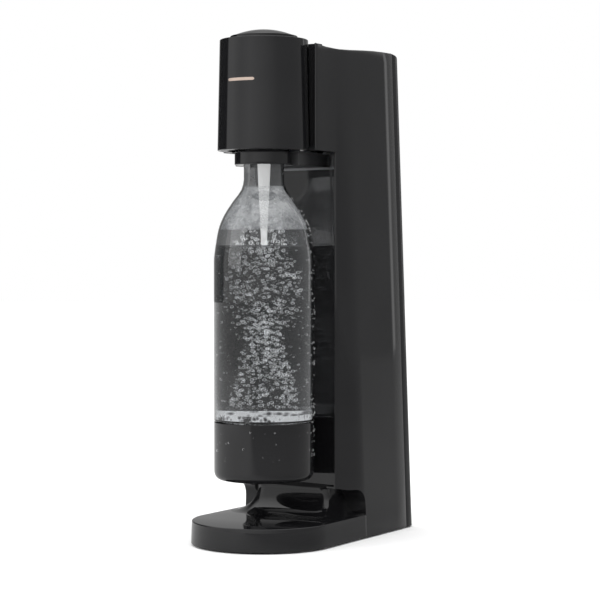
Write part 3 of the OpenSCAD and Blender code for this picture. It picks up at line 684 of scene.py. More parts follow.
@dataclass(frozen=True)
class Plan:
    """The outline of the housing, worked out from the frame's boxes."""

    axis_y: float
    seam_y: float
    rear_y: float
    foot_low: float
    foot_half: float
    top_half: float
    top_z: float
    head_low: float
    wall: float = 0.003
    foot_top: float = 0.020
    wing_front: float = 0.040
    wing_back: float = 0.066
    cheek_front: float = 0.008
    niche_top: float = 0.042
    niche_round: float = 0.012
    niche_dip: float = -0.0015

    @staticmethod
    def from_frame() -> "Plan":
        """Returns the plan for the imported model."""
        housing_low, housing_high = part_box("main_housing")
        bottle_low, bottle_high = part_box("bottle")
        _, rear_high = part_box("rear_cover")
        head_low, head_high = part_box("head_cover")
        return Plan(
            axis_y=(bottle_low.y + bottle_high.y) / 2,
            seam_y=housing_high.y,
            rear_y=rear_high.y,
            foot_low=housing_low.z,
            foot_half=housing_high.x,
            top_half=0.75 * housing_high.x,
            top_z=head_high.z,
            head_low=head_low.z,
        )

    def side_x(self, z: float) -> float:
        """Returns half the width across the flanks at a height."""
        return self.foot_half - (self.foot_half - self.top_half) * z / self.top_z

    def skin_x(self, z: float, y: float) -> float:
        """Returns half the width of the outside at a height and a place along Y."""
        t = (y - self.axis_y - self.wing_front) / (self.wing_back - self.wing_front)
        t = min(1.0, max(0.0, t))
        return self.top_half + (self.side_x(z) - self.top_half) * (1 - (1 - t) ** 2)

    def saddle(self, y: float) -> float:
        """Returns the height of the side walls' top edge at a place along Y."""
        a, s, r = self.axis_y, self.seam_y, self.rear_y
        drops = [
            (a + 0.003, 0.0014), (a + 0.007, 0.0034), (a + 0.014, 0.0046), (a + 0.030, 0.0054),
            (a + 0.047, 0.0051), (a + 0.064, 0.0041), (a + 0.082, 0.0027), (a + 0.099, 0.0014),
            (a + 0.117, 0.0006), (s - 0.003, 0.0001), (s + 0.003, 0.0003), (s + 0.009, 0.0016),
            (r - 0.005, 0.004), (r - 0.001, 0.008), (r, 0.012),
        ]
        return self.top_z - along(drops, y)

    def arch(self, y: float) -> float:
        """Returns the height of the niche's ceiling at a place along Y."""
        back = self.axis_y + self.wing_back
        corner = back - self.niche_round
        if y > corner:
            run = min(y, back) - corner
            return self.niche_top - self.niche_round + math.sqrt(max(0.0, self.niche_round**2 - run**2))
        behind = y - self.axis_y - self.wing_front
        return self.niche_top - self.niche_dip * (1 - smooth_step(behind / 0.010))


@dataclass(frozen=True)
class Station:
    """One upright line of the side wall's skin: its place in plan and its way out."""

    y: float
    depth: float
    out_x: float
    out_y: float


# ---- Housing ----


@dataclass
class Housing:
    """The body moulding: foot, waist, side walls, wings and cheeks."""

    plan: Plan
    edge: float = 0.0009
    rim: float = 0.0008
    waist_half: float = 0.038
    waist_corner: float = 0.012
    corner_growth: float = 0.6
    flare: float = 0.022
    sill_top: float = 0.0461
    groove: float = 0.005
    cover_front: float = 0.020
    lip: float = 0.0037

    def stations(self, front: float, packed: bool) -> list[Station]:
        """Lists the side wall's upright lines from the seam forward, round the front, and back.

        Args:
            front: Where the wall's front end is, along Y.
            packed: Whether the lines of the cheek are gathered behind the wing's front edge.

        Returns:
            The stations, outside first.
        """
        plan, e = self.plan, self.edge
        a, seam, wall = plan.axis_y, plan.seam_y, plan.wall
        corner = a + plan.wing_back - plan.niche_round
        ys = spaced(seam - e, a + 0.070, 5) + [a + 0.0672, a + plan.wing_back + 0.0006]
        ys += [corner + plan.niche_round * math.cos(math.radians(t)) for t in (0, 15, 30, 45, 60, 75, 90)]
        ys += [a + y for y in (0.050, 0.0475, 0.045, 0.0435, 0.0425)]
        r = wall / 2
        wing = a + plan.wing_front
        if packed:
            ys += [wing + r + 0.00006, wing + r + 0.00004, wing + r + 0.00002]
        else:
            ys += [wing, (wing + front) / 2, front + r + 0.0004]
        outer = [Station(seam, e, 0, 1), Station(seam - e * 0.3, e * 0.3, 0.7, 0.7)]
        outer += [Station(y, 0, 1, 0) for y in ys]
        inner = [Station(s.y, wall - s.depth, -s.out_x, s.out_y) for s in reversed(outer)]
        turn = []
        for k in range(9):
            angle = math.pi * k / 8
            turn.append(Station(front + r - r * math.sin(angle), r - r * math.cos(angle),
                                math.cos(angle), -math.sin(angle)))
        return outer + turn + inner

    def ring(
        self, stations: Sequence[Station], height: Callable[[float], float], shrink: float = 0.0
    ) -> list[Point3]:
        """Places each station at its height.

        Args:
            stations: The side wall's upright lines.
            height: The height at a place along Y.
            shrink: How far the ring pulls in towards the wall's middle.

        Returns:
            The ring's points.
        """
        out = []
        for s in stations:
            z = height(s.y)
            x = self.plan.skin_x(z, s.y) - s.depth - shrink * s.out_x
            out.append((x, s.y - shrink * s.out_y, z))
        return out

    def side_walls(self, skin: Skin) -> None:
        """Adds the right-hand side wall with its wing and cheek; make mirrors it for the left."""
        plan, e = self.plan, self.edge
        back = plan.axis_y + plan.wing_back
        low = self.stations(plan.axis_y + plan.wing_front, True)
        high = self.stations(plan.axis_y + plan.cheek_front, False)

        def floor(y: float) -> float:
            """Returns the wall's lower edge at a place along Y."""
            return plan.foot_low if y > back + 0.0003 else plan.arch(y)

        rings = []
        for v in (0.0, 0.04, 0.12, 0.3, 0.55, 0.8, 1.0):
            rings.append(self.ring(low, lambda y: floor(y) + (plan.head_low - floor(y)) * v))
        for v in (0.0, 0.33, 0.66, 0.9):
            rings.append(self.ring(high, lambda y: plan.head_low + (plan.saddle(y) - plan.head_low) * v))
        for drop, shrink in ((e, 0.0), (0.3 * e, 0.3 * e), (0.0, e)):
            rings.append(self.ring(high, lambda y: plan.saddle(y) - drop, shrink))
        skin.loft(rings, folded_caps=True)

    def niche(self, skin: Skin) -> None:
        """Adds the ceiling and the back wall of the right-hand niche."""
        plan = self.plan
        a, back = plan.axis_y, plan.axis_y + plan.wing_back
        ys = [a + y for y in (0.0412, 0.043, 0.045, 0.0475, 0.050)]
        ys += [back - plan.niche_round * (1 - math.sin(math.radians(t))) for t in range(0, 91, 15)]
        under = [(y, plan.arch(y) + 0.00005) for y in ys] + [(back, plan.foot_top - 0.0001)]
        top = plan.niche_top + plan.wall
        outline = under + [(back + plan.wall, under[-1][1]), (back + plan.wall, top), (ys[0], top)]
        inside = [(self.waist_half - plan.wall + 0.0005, y, z) for y, z in outline]
        outside = [(plan.skin_x(z, y) - plan.wall / 2, y, z) for y, z in outline]
        skin.loft([inside, outside])

    def groove_floor(self, skin: Skin) -> None:
        """Adds the floor and the back of the groove between the head and the right-hand cheek."""
        plan = self.plan
        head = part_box("head_cover")[1].x + 0.0003
        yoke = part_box("tilt_yoke")[1].x + 0.002
        reach = plan.top_half - plan.wall / 2
        ys = spaced(plan.cheek_front + 0.0008, plan.wing_front + 0.001, 14)
        rings = []
        for z in (plan.head_low, plan.head_low + plan.wall):
            inner = [(max(yoke, math.sqrt(max(0.0, head**2 - y * y))), plan.axis_y + y, z) for y in ys]
            rings.append(inner + [(reach, plan.axis_y + y, z) for y in reversed(ys)])
        skin.loft(rings, folded_caps=True)
        cover_low = plan.top_z - 0.0121
        face = plan.cheek_front + self.groove
        self.groove_block(skin, face, plan.wing_front + 0.001, (plan.head_low, cover_low))
        self.groove_block(skin, face, self.cover_front - 0.0002, (cover_low, plan.top_z - self.lip))

    def groove_block(self, skin: Skin, front: float, back: float, heights: Point2) -> None:
        """Fills the groove behind its face, round the tapered head.

        Args:
            skin: The skin that takes it.
            front: The face's place, behind the head's axis.
            back: The back's place, behind the head's axis.
            heights: Its lowest and highest level.
        """
        plan = self.plan
        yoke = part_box("tilt_yoke")[1].x + 0.002
        r_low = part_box("head_cover")[1].x + 0.0004
        taper = (r_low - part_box("button_bezel")[1].x - 0.0031) / (plan.top_z - plan.head_low)
        rings = []
        ys = spaced(front, back, 12)
        for z in spaced(*heights, 3):
            r = r_low - taper * (z - plan.head_low)
            reach = plan.top_half - plan.wall / 2
            inner = [(max(yoke, math.sqrt(max(0.0, r * r - y * y))), plan.axis_y + y, z) for y in ys]
            rings.append(inner + [(reach, plan.axis_y + y, z) for y in reversed(ys)])
        skin.loft(rings, folded_caps=True)

    def waist(self, skin: Skin) -> None:
        """Adds the hollow waist under the column, flared out onto the foot."""
        plan = self.plan
        back = plan.axis_y + plan.wing_back + plan.wall
        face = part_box("front_panel")[0].y + 0.0004
        room = self.waist_half - plan.wall
        rings = []
        sill_half = plan.top_half - plan.wall
        for t in (-4, -3, -2, -1, *range(0, 91, 6)):
            angle = math.radians(max(0, t))
            rise = smooth_step(max(0, -t) / 4)
            grow = self.flare * (1 - math.cos(angle))
            z = plan.niche_top - self.flare * math.sin(angle)
            z += (self.sill_top - plan.niche_top) * max(0, -t) / 4
            spread = plan.side_x(plan.foot_top) - 0.0012 - self.waist_half
            half = self.waist_half + spread * (1 - math.cos(angle))
            half += (sill_half - self.waist_half) * rise
            r = self.waist_corner * (1 - 0.9 * rise) + self.corner_growth * grow
            right = [(half, back), (half, back - 0.006)]
            for k in range(13):
                t = math.pi / 2 * k / 12
                right.append((half - r + r * math.cos(t), face - grow + r - r * math.sin(t)))
            outer = right + [(-x, y) for x, y in reversed(right)]
            inner = [(-room, back), (-room, face + plan.wall), (room, face + plan.wall), (room, back)]
            rings.append([(x, y, z) for x, y in outer + inner])
        skin.loft(rings)

    def foot(self, skin: Skin) -> None:
        """Adds the round foot with its rolled top edge and its hollow underside."""
        plan = self.plan
        a, back = plan.axis_y, plan.axis_y + plan.wing_back + 0.0026
        room = self.waist_half - plan.wall
        plate_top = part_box("base_plate")[1].z + 0.0001
        levels = [(plate_top, plan.wall), (plan.foot_low, plan.wall), (plan.foot_low, 0.0005),
                  (plan.foot_low + 0.0005, 0.0)]
        levels += [(z, 0.0) for z in spaced(plan.foot_low + 0.004, plan.foot_top - self.rim, 4)]
        for k in range(1, 6):
            t = math.pi / 2 * k / 5
            levels.append((plan.foot_top - self.rim * (1 - math.sin(t)), self.rim * (1 - math.cos(t))))
        rings = []
        for z, inset in levels:
            side = []
            wing = a + plan.wing_back + 0.0006
            for y in (back, back - 0.0012, wing, a + 0.064, a + 0.050, a + 0.030, a + 0.015):
                held = smooth_step((wing - y) / 0.0016)
                tucked = 0.0004 if y > a + plan.wing_back + 0.0008 else 0.0
                given = inset if z < plan.foot_low + 0.004 else inset * held
                side.append((plan.side_x(z) - given - tucked, y))
            r = plan.side_x(z) - inset
            arc = [(r * math.cos(math.pi * k / 96), a - r * math.sin(math.pi * k / 96)) for k in range(97)]
            left = [(-x, y) for x, y in reversed(side)]
            notch = [(-room, back), (-room, a + 0.048), (room, a + 0.048), (room, back)]
            rings.append([(x, y, z) for x, y in side + arc + left + notch])
        skin.loft(rings)

    def make(self) -> None:
        """Builds the housing as one piece."""
        skin = Skin()
        self.side_walls(skin)
        self.niche(skin)
        self.groove_floor(skin)
        skin.mirrored()
        self.waist(skin)
        self.foot(skin)
        skin.piece("housing_shell", GLOSS, "root", "main_housing")


@dataclass
class RearCover:
    """The lift-off cover over the gas cylinder."""

    plan: Plan
    corner: float = 0.012
    edge: float = 0.0009
    crown: float = 0.0014

    def outline(self, z: float, inset: float) -> list[Point2]:
        """Returns the cover's plan at a height, from the right-hand seam round to the left-hand one."""
        plan, e = self.plan, self.edge
        front = plan.seam_y + 0.0004
        half, r = plan.side_x(z) - inset, self.corner - inset
        right = [(half - e, front), (half - e * 0.3, front + e * 0.3), (half, front + e)]
        for k in range(13):
            t = math.pi / 2 * k / 12
            right.append((half - r + r * math.cos(t), plan.rear_y - inset - r + r * math.sin(t)))
        return right + [(-x, y) for x, y in reversed(right)]

    def make(self) -> None:
        """Builds the cover as a shell with a crowned top."""
        plan, c = self.plan, self.crown
        wall = plan.wall
        skin = Skin()
        rings = []
        for v in (0.0, 0.15, 0.4, 0.7, 0.95):
            ring = []
            for x, y in self.outline(plan.foot_low + v * (plan.top_z - plan.foot_low), 0.0):
                z = plan.foot_low + v * (plan.saddle(y) - c - plan.foot_low)
                ring.append((x, y, z))
            rings.append(ring)
        for t in range(0, 91, 18):
            inset = c * (1 - math.cos(math.radians(t)))
            drop = c * (1 - math.sin(math.radians(t)))
            flat = self.outline(plan.top_z, 0.0)
            tucked = self.outline(plan.top_z, inset)
            rings.append([(x, y, plan.saddle(y0) - drop) for (x, y), (_, y0) in zip(tucked, flat)])
        inner = []
        for v in (1.0, 0.5, 0.0):
            ring = []
            for x, y in self.outline(plan.foot_low + v * (plan.top_z - plan.foot_low), wall):
                z = plan.foot_low + v * (plan.saddle(min(y + wall, plan.rear_y)) - wall - plan.foot_low)
                ring.append((x, y, z))
            inner.append(ring)
        n = len(rings[0])
        start = len(skin.points)
        skin.loft(rings, closed=False, caps=False)
        skin.folded_end(start + (len(rings) - 1) * n, n)
        low = len(skin.points)
        skin.loft(inner, closed=False, caps=False)
        skin.folded_end(low, n)
        bottom_in = low + (len(inner) - 1) * n
        for i in range(n - 1):
            skin.faces.append((start + i, start + i + 1, bottom_in + i + 1, bottom_in + i))
        skin.piece("rear_cover_shell", GLOSS, "rear_cover_body", "rear_cover")


@dataclass
class FrontPanel:
    """The recessed panel behind the bottle, hollowed to follow it."""

    plan: Plan
    hollow_radius: float = 0.260
    hollow: float = 0.003
    columns: int = 40

    def make(self) -> None:
        """Builds the panel."""
        low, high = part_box("front_panel")
        narrow = self.plan.skin_x(high.z, low.y) - self.plan.wall - 0.00015
        skin = Skin()
        rings = []
        for z in spaced(low.z, high.z, 7):
            half = high.x + (narrow - high.x) * (z - low.z) / (high.z - low.z)
            face = []
            for x in spaced(-half, half, self.columns):
                sink = self.hollow - (self.hollow_radius - math.sqrt(self.hollow_radius**2 - x * x))
                face.append((x, low.y + max(0.0, sink), z))
            rings.append(face + [(x, high.y, z) for x in spaced(half, -half, self.columns)])
        skin.loft(rings, folded_caps=True)
        skin.piece("front_panel_skin", GLOSS, "root", "front_panel")


# ---- Head ----


@dataclass
class Head:
    """The round head cover with its bezel, button, spring and a plain badge."""

    plan: Plan
    wall: float = 0.0025
    edge: float = 0.0007
    coils: int = 6
    wire: float = 0.00075
    button_gap: float = 0.0005
    bezel_skirt: float = 0.002
    bezel_flange: float = 0.0034
    stem: float = 0.005
    button_wall: float = 0.002
    button_cap: float = 0.006
    band_top: float = 0.0031
    skirt_low: float = 0.0099
    dome_in: float = 0.0015
    badge_half: float = 0.0125
    badge_tall: float = 0.0024
    badge_proud: float = 0.0002
    badge_sunk: float = 0.0006
    badge_share: float = 0.62
    badge_lean: float = 0.024
    badge_end: float = 0.88

    def centre(self) -> Point2:
        """Returns where the head's upright axis stands in plan."""
        return (0.0, self.plan.axis_y)

    def cover(self) -> None:
        """Builds the tapered cover, open at the back for the holder's arms."""
        low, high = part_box("head_cover")
        r_low, r_high = high.x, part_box("button_bezel")[1].x + self.wall + 0.0002
        e = self.edge
        skin = Skin()
        skin.turned(
            rounded([(r_low, low.z, e), (r_high, high.z, e), (r_high - self.wall, high.z, 0.0002),
                     (r_low - self.wall, low.z, 0.0003)]),
            self.centre(), 192,
        )
        obj = skin.piece("head_cover_shell", GLOSS, "root", "head_cover")
        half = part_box("tilt_yoke")[1].x + 0.001
        axis_y = self.plan.axis_y
        cut_away(obj, (-half, axis_y, low.z - 0.01), (half, axis_y + 0.05, high.z - 0.012))

    def bezel(self) -> None:
        """Builds the satin ring round the button."""
        low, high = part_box("button_bezel")
        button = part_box("carbonating_button")[1].x
        r_in, flange = button + self.button_gap, self.bezel_flange
        skirt = r_in + self.bezel_skirt
        skin = Skin()
        skin.turned(
            rounded([(r_in, low.z, 0), (skirt, low.z, 0), (skirt, high.z - flange, 0.0005),
                     (high.x, high.z - flange, 0), (high.x, high.z, 0.0006), (r_in, high.z, 0.0009)]),
            self.centre(), 160,
        )
        skin.piece("button_bezel_ring", SATIN, "root", "button_bezel")

    def button(self) -> None:
        """Builds the domed button with its band, skirt and stem."""
        low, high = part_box("carbonating_button")
        r, stem = high.x, self.stem
        band = self.plan.top_z + self.band_top
        dome = r - self.dome_in
        rise = high.z - band
        ball = (dome * dome + rise * rise) / (2 * rise)
        skirt = self.plan.top_z - self.skirt_low
        under = high.z - self.button_cap
        inner = r - self.button_wall
        top = [(ball * math.sin(a), high.z - ball * (1 - math.cos(a)))
               for a in spaced(0.0, math.asin((dome - 0.0003) / ball), 22)]
        side = rounded([(dome - 0.0002, band + 0.0002, 0), (r, band, 0.0005), (r, skirt, 0.0003),
                        (inner, skirt, 0.0003), (inner, under, 0.0008), (stem, under, 0.001),
                        (stem, low.z, 0.0006), (0.0, low.z, 0)])
        skin = Skin()
        skin.turned(top + side, self.centre(), 160)
        skin.piece("press_button", GLOSS, "button_body", "carbonating_button")

    def spring(self) -> None:
        """Builds the coil spring under the button, as a fixed shape that does not shorten as the button is
        pressed.
        """
        low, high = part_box("button_spring")
        radius = high.x - self.wire
        path = []
        count = self.coils * 28
        for k in range(count + 1):
            t = k / count
            eased = smooth_step(t) * 0.25 + t * 0.75
            angle = 2 * math.pi * self.coils * t
            path.append(Vector((radius * math.cos(angle), self.plan.axis_y + radius * math.sin(angle),
                                low.z + self.wire + (high.z - low.z - 2 * self.wire) * eased)))
        skin = Skin()
        skin.pipe(path, self.wire, 10)
        obj = skin.piece("button_coil_spring", ZINC, "root", "button_spring")
        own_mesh(obj)

    def badge(self) -> None:
        """Builds a small plain copper bar on the front of the head."""
        low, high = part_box("head_cover")
        steps = 24
        z_mid = low.z + self.badge_share * (high.z - low.z)
        r_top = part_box("button_bezel")[1].x + self.wall
        r = high.x + (r_top - high.x) * self.badge_share
        proud, sunk = self.badge_proud, -self.badge_sunk
        skin = Skin()
        rings = []
        for k in range(steps + 1):
            s = -1 + 2 * k / steps
            past = max(0.0, (abs(s) - self.badge_end) / (1 - self.badge_end))
            room = self.badge_tall / 2 * math.sqrt(max(0.02, 1 - past**2))
            angle = s * self.badge_half / r
            ring = []
            for dr, dz in ((sunk, -room), (proud, -room), (proud, room), (sunk, room)):
                rr = r + dr - dz * self.badge_lean
                ring.append((rr * math.sin(angle), self.plan.axis_y - rr * math.cos(angle), z_mid + dz))
            rings.append(ring)
        skin.loft(rings)
        skin.piece("plain_badge", COPPER, "root")

    def make(self) -> None:
        """Builds every piece of the head."""
        self.cover()
        self.bezel()
        self.button()
        self.spring()
        self.badge()


# ---- Bottle holder ----


@dataclass
class Holder:
    """The tilting holder: collar and nozzle, with the gas tube that runs to it."""

    plan: Plan
    bend: float = 0.012
    tube: float = 0.0026
    bore: float = 0.0165
    lip: float = 0.003
    lip_tall: float = 0.002
    nozzle_tip: float = 0.00225
    nozzle_root: float = 0.00535
    nozzle_bore: float = 0.0011
    nozzle_flange: float = 0.009
    nozzle_spigot: float = 0.004
    flange_tall: float = 0.001

    def collar(self) -> None:
        """Builds the round collar that takes the bottle's neck."""
        low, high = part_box("bottle_collar")
        bore, seat = self.bore, high.z - self.lip_tall
        skin = Skin()
        skin.turned(
            rounded([(high.x, low.z, 0.0007), (high.x, high.z, 0.0004), (bore - self.lip, high.z, 0),
                     (bore - self.lip, seat, 0), (bore, seat, 0), (bore, low.z, 0.0006)]),
            (0.0, self.plan.axis_y), 128,
        )
        skin.piece("bottle_collar_ring", GLOSS, "holder_body", "bottle_collar")

    def nozzle(self) -> None:
        """Builds the white nozzle with its flange and the spigot above it."""
        low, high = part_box("nozzle")
        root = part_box("bottle_collar")[0].z
        root_r, bore, wide, spigot = self.nozzle_root, self.nozzle_bore, self.nozzle_flange, self.nozzle_spigot
        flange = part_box("bottle_collar")[1].z - 0.0005
        above = flange + self.flange_tall
        skin = Skin()
        skin.turned(
            rounded([(bore, low.z, 0), (self.nozzle_tip, low.z, 0.0006), (root_r, root, 0.001),
                     (root_r, flange, 0), (wide, flange, 0.0002), (wide, above, 0.0002),
                     (spigot, above, 0), (spigot, high.z, 0.0003), (bore, high.z, 0)]),
            (0.0, self.plan.axis_y), 64,
        )
        # Its finish paints a glow on the nozzle.
        skin.piece("nozzle_tube", NOZZLE, "holder_body", "nozzle")

    def gas_tube(self) -> None:
        """Builds the gas tube, which bends between the frame and the holder."""
        low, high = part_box("gas_hose")
        run_z = high.z - self.tube
        start_y, end_y = high.y, self.plan.axis_y
        path = [Vector((0, y, run_z)) for y in spaced(start_y, end_y + self.bend, 16)]
        for k in range(1, 10):
            t = math.pi / 2 * k / 9
            y = end_y + self.bend * (1 - math.sin(t))
            path.append(Vector((0, y, run_z - self.bend * (1 - math.cos(t)))))
        path += [Vector((0, end_y, z)) for z in spaced(run_z - self.bend - 0.001, low.z, 8)]
        skin = Skin()
        skin.pipe(path, self.tube, 20)
        obj = skin.piece("gas_tube", HOSE, "", "gas_hose")
        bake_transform(obj)

    def make(self) -> None:
        """Builds every piece of the holder."""
        self.collar()
        self.nozzle()
        self.gas_tube()


# ---- Bottle and drink ----


@dataclass
class Bottle:
    """The clear bottle, its black base cup, and the drink in it."""

    plan: Plan
    wall: float = 0.0014
    gap: float = 0.00006
    radius: float = 0.041
    foot_radius: float = 0.0385
    inner_foot_radius: float = 0.0375
    sunk: float = 0.0025
    foam: Point2 = (0.1030, 0.1076)
    plume_count: int = 1750
    loose_count: int = 260
    splash_count: int = 150
    splash_reach: float = 0.022
    bead_count: int = 420
    cup_wall: float = 0.0022
    cup_turn: float = 0.015
    water_level: float = 0.2448
    # Heights of the film that paints the highlight on the shoulder.
    highlight_band: Point2 = (0.2580, 0.2930)
    shoulder: tuple[Point2, ...] = (
        (0.2330, 0.0410), (0.2370, 0.0407), (0.2410, 0.0402), (0.2450, 0.0396), (0.2490, 0.0390),
        (0.2535, 0.0382), (0.2580, 0.0373), (0.2620, 0.0360), (0.2660, 0.0344), (0.2700, 0.0324),
        (0.2740, 0.0300), (0.2780, 0.0273), (0.2820, 0.0246), (0.2860, 0.0213), (0.2900, 0.0186),
        (0.2940, 0.0172), (0.2990, 0.01645),
    )

    def outside(self, z: float) -> float:
        """Returns the bottle's outside radius at a height."""
        return along(self.shoulder, z)

    def shell(self) -> None:
        """Builds the clear shell, with its inner wall."""
        low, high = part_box("bottle")
        cup_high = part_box("bottle_base_cup")[1].z
        w, r, neck = self.wall, self.radius, self.radius - self.sunk
        zs = spaced(cup_high + 0.004, self.shoulder[-1][0], 46) + [high.z - 0.0006]
        base = rounded([(0.0, low.z, 0), (self.foot_radius - 0.001, low.z, 0.012), (neck, cup_high, 0.0)], 8)
        out = base[:-1] + [(neck, cup_high), (r, cup_high + 0.001)]
        out += [(self.outside(z), z) for z in zs] + [(self.outside(high.z) - 0.0003, high.z)]
        inner_base = rounded(
            [(neck - w, cup_high, 0), (self.inner_foot_radius - w, low.z + w, 0.011), (0.0, low.z + w, 0)], 8
        )
        back = [(self.outside(high.z) - w - 0.0006, high.z)]
        back += [(self.outside(z) - w, z) for z in reversed(zs)] + [(r - w, cup_high + 0.0024)]
        skin = Skin()
        skin.turned(out + back + inner_base, (0.0, self.plan.axis_y), 160)
        skin.piece("clear_bottle_shell", CLEAR, "bottle_body", "bottle")

    def cup(self) -> None:
        """Builds the black cup round the bottle's base."""
        low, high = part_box("bottle_base_cup")
        r, t, turn = high.x, self.cup_wall, self.cup_turn
        skin = Skin()
        skin.turned(
            rounded([(0.0, low.z + 0.0015, 0), (r - turn - 0.006, low.z + 0.0015, 0.001),
                     (r - turn - 0.002, low.z, 0.001), (r, low.z, turn), (r, high.z, 0.0005),
                     (r - t, high.z, 0.0004), (r - t, low.z + t, turn - t),
                     (0.0, low.z + 0.0015 + t, 0)], 10),
            (0.0, self.plan.axis_y), 144,
        )
        skin.piece("bottle_base_shell", GLOSS, "bottle_body", "bottle_base_cup")

    def water(self) -> None:
        """Builds the drink, filled round the nozzle with a curled-up edge at the wall."""
        low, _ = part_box("bottle")
        cup_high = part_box("bottle_base_cup")[1].z
        w, g = self.wall, self.gap
        base = rounded([(0.0, low.z + w + g, 0), (self.inner_foot_radius - w - g, low.z + w + g, 0.011),
                        (self.radius - self.sunk - w - g, cup_high, 0)], 8)
        side = [(self.radius - w - g, cup_high + 0.0025)]
        side += [(self.outside(z) - w - g, z) for z in spaced(cup_high + 0.004, self.water_level, 22)]
        edge = self.outside(self.water_level) - w - g
        top = [(edge - 0.0006, self.water_level - 0.0007), (edge - 0.002, self.water_level - 0.0012),
               (0.0, self.water_level - 0.0013)]
        skin = Skin()
        skin.turned(base + side + top, (0.0, self.plan.axis_y), 128)
        skin.piece("drink", WATER, "bottle_body")

    def ball(self, skin: Skin, at: Point3, r: float, squash: float = 1.0) -> None:
        """Adds one small ball, flattened by squash, to a skin."""
        rows, columns = 6, 10
        profile = []
        for i in range(rows + 1):
            a = math.pi * i / rows
            profile.append((r * math.sin(a), -r * squash * math.cos(a)))
        rings = []
        for rr, z in profile:
            angles = [2 * math.pi * k / columns for k in range(columns)]
            rings.append([(at[0] + rr * math.cos(b), at[1] + rr * math.sin(b), at[2] + z) for b in angles])
        skin.loft(rings, caps=False)

    def drop(self, skin: Skin, r: float, turn: float, z: float, size: float, squash: float = 1.0) -> None:
        """Adds one ball at a radius, an angle and a height round the bottle's axis."""
        self.ball(skin, (r * math.cos(turn), self.plan.axis_y + r * math.sin(turn), z), size, squash)

    def bubbles(self) -> None:
        """Scatters the gas bubbles: a dense plume under the nozzle and loose ones round it."""
        dice = random.Random(SEED)
        plume = [(0.104, 0.023), (0.125, 0.022), (0.145, 0.0175), (0.160, 0.0135), (0.176, 0.0125),
                 (0.188, 0.0205), (0.205, 0.0260), (0.222, 0.0245), (0.234, 0.018), (0.243, 0.014)]
        skin = Skin()
        for _ in range(self.plume_count):
            z = dice.uniform(0.112, 0.242)
            reach = along(plume, z)
            hollow = smooth_step((0.150 - z) / 0.02) * 0.55
            r = reach * math.sqrt(dice.uniform(hollow, 1.0))
            turn = dice.uniform(0, 2 * math.pi)
            size = 0.0003 + 0.0011 * dice.random() ** 2.6
            self.drop(skin, r, turn, z, size, 0.85)
        for _ in range(self.loose_count):
            z = dice.uniform(0.104, 0.243)
            r = 0.036 * math.sqrt(dice.random())
            turn = dice.uniform(0, 2 * math.pi)
            size = 0.00025 + 0.0006 * dice.random() ** 2
            self.drop(skin, r, turn, z, size)
        # Their finish paints glowing highlights round each bubble's rim.
        skin.piece("gas_bubbles", BUBBLE, "bottle_body")

    def splashes(self) -> None:
        """Scatters drops above the surface, round the nozzle."""
        dice = random.Random(SEED + 1)
        reach = self.splash_reach
        skin = Skin()
        for _ in range(self.splash_count):
            z = self.water_level + reach * dice.random() ** 1.6
            r = (0.010 + 0.018 * dice.random()) * (1 - 0.5 * (z - self.water_level) / reach)
            turn = dice.uniform(0, 2 * math.pi)
            size = 0.0004 + 0.0012 * dice.random() ** 2
            self.drop(skin, r, turn, z, size)
        # Their finish paints glowing highlights round each drop's rim.
        skin.piece("splash_drops", BUBBLE, "bottle_body")

    def film(self, name: str, low: float, high: float, finish: Finish, off: float) -> None:
        """Builds a thin film on the inside of the bottle between two heights."""
        skin = Skin()
        zs = spaced(low, high, 18)
        out = [(self.outside(z) - self.wall - off, z) for z in zs]
        back = [(r - 0.0002, z) for r, z in reversed(out)]
        skin.turned(out + back, (0.0, self.plan.axis_y), 128)
        skin.piece(name, finish, "bottle_body")

    def beads(self) -> None:
        """Scatters drops of water on the outside of the bottle and its cup."""
        dice = random.Random(SEED + 2)
        skin = Skin()
        for k in range(self.bead_count):
            z = dice.uniform(0.062, 0.284)
            grouped = k % 4 == 0
            turn = dice.gauss(math.radians(20), math.radians(14)) if grouped else dice.uniform(0, 2 * math.pi)
            size = 0.00025 + 0.0006 * dice.random() ** 2
            r = self.outside(z) if z > 0.102 else self.radius
            if z < 0.070:
                r -= 0.0018
            r = min(r + size * 0.2, 0.0412)
            self.drop(skin, r, turn, z, size, 1.15)
        # Their finish paints glowing highlights round each drop's rim.
        skin.piece("water_drops", BEAD, "bottle_body")

    def make(self) -> None:
        """Builds the bottle and all that is in and on it."""
        self.shell()
        self.cup()
        self.water()
        self.bubbles()
        self.splashes()
        # Painted highlight: a glowing clouded film on the inside of the shoulder, standing in for light
        # reflected there.
        self.film("shoulder_highlight_film", *self.highlight_band, SHOULDER_HIGHLIGHT, 0.0003)
        # The foam's finish paints a glow on it.
        self.film("foam_band", *self.foam, FOAM, 0.0008)
        self.beads()


# ---- CAD pieces that keep their shape ----


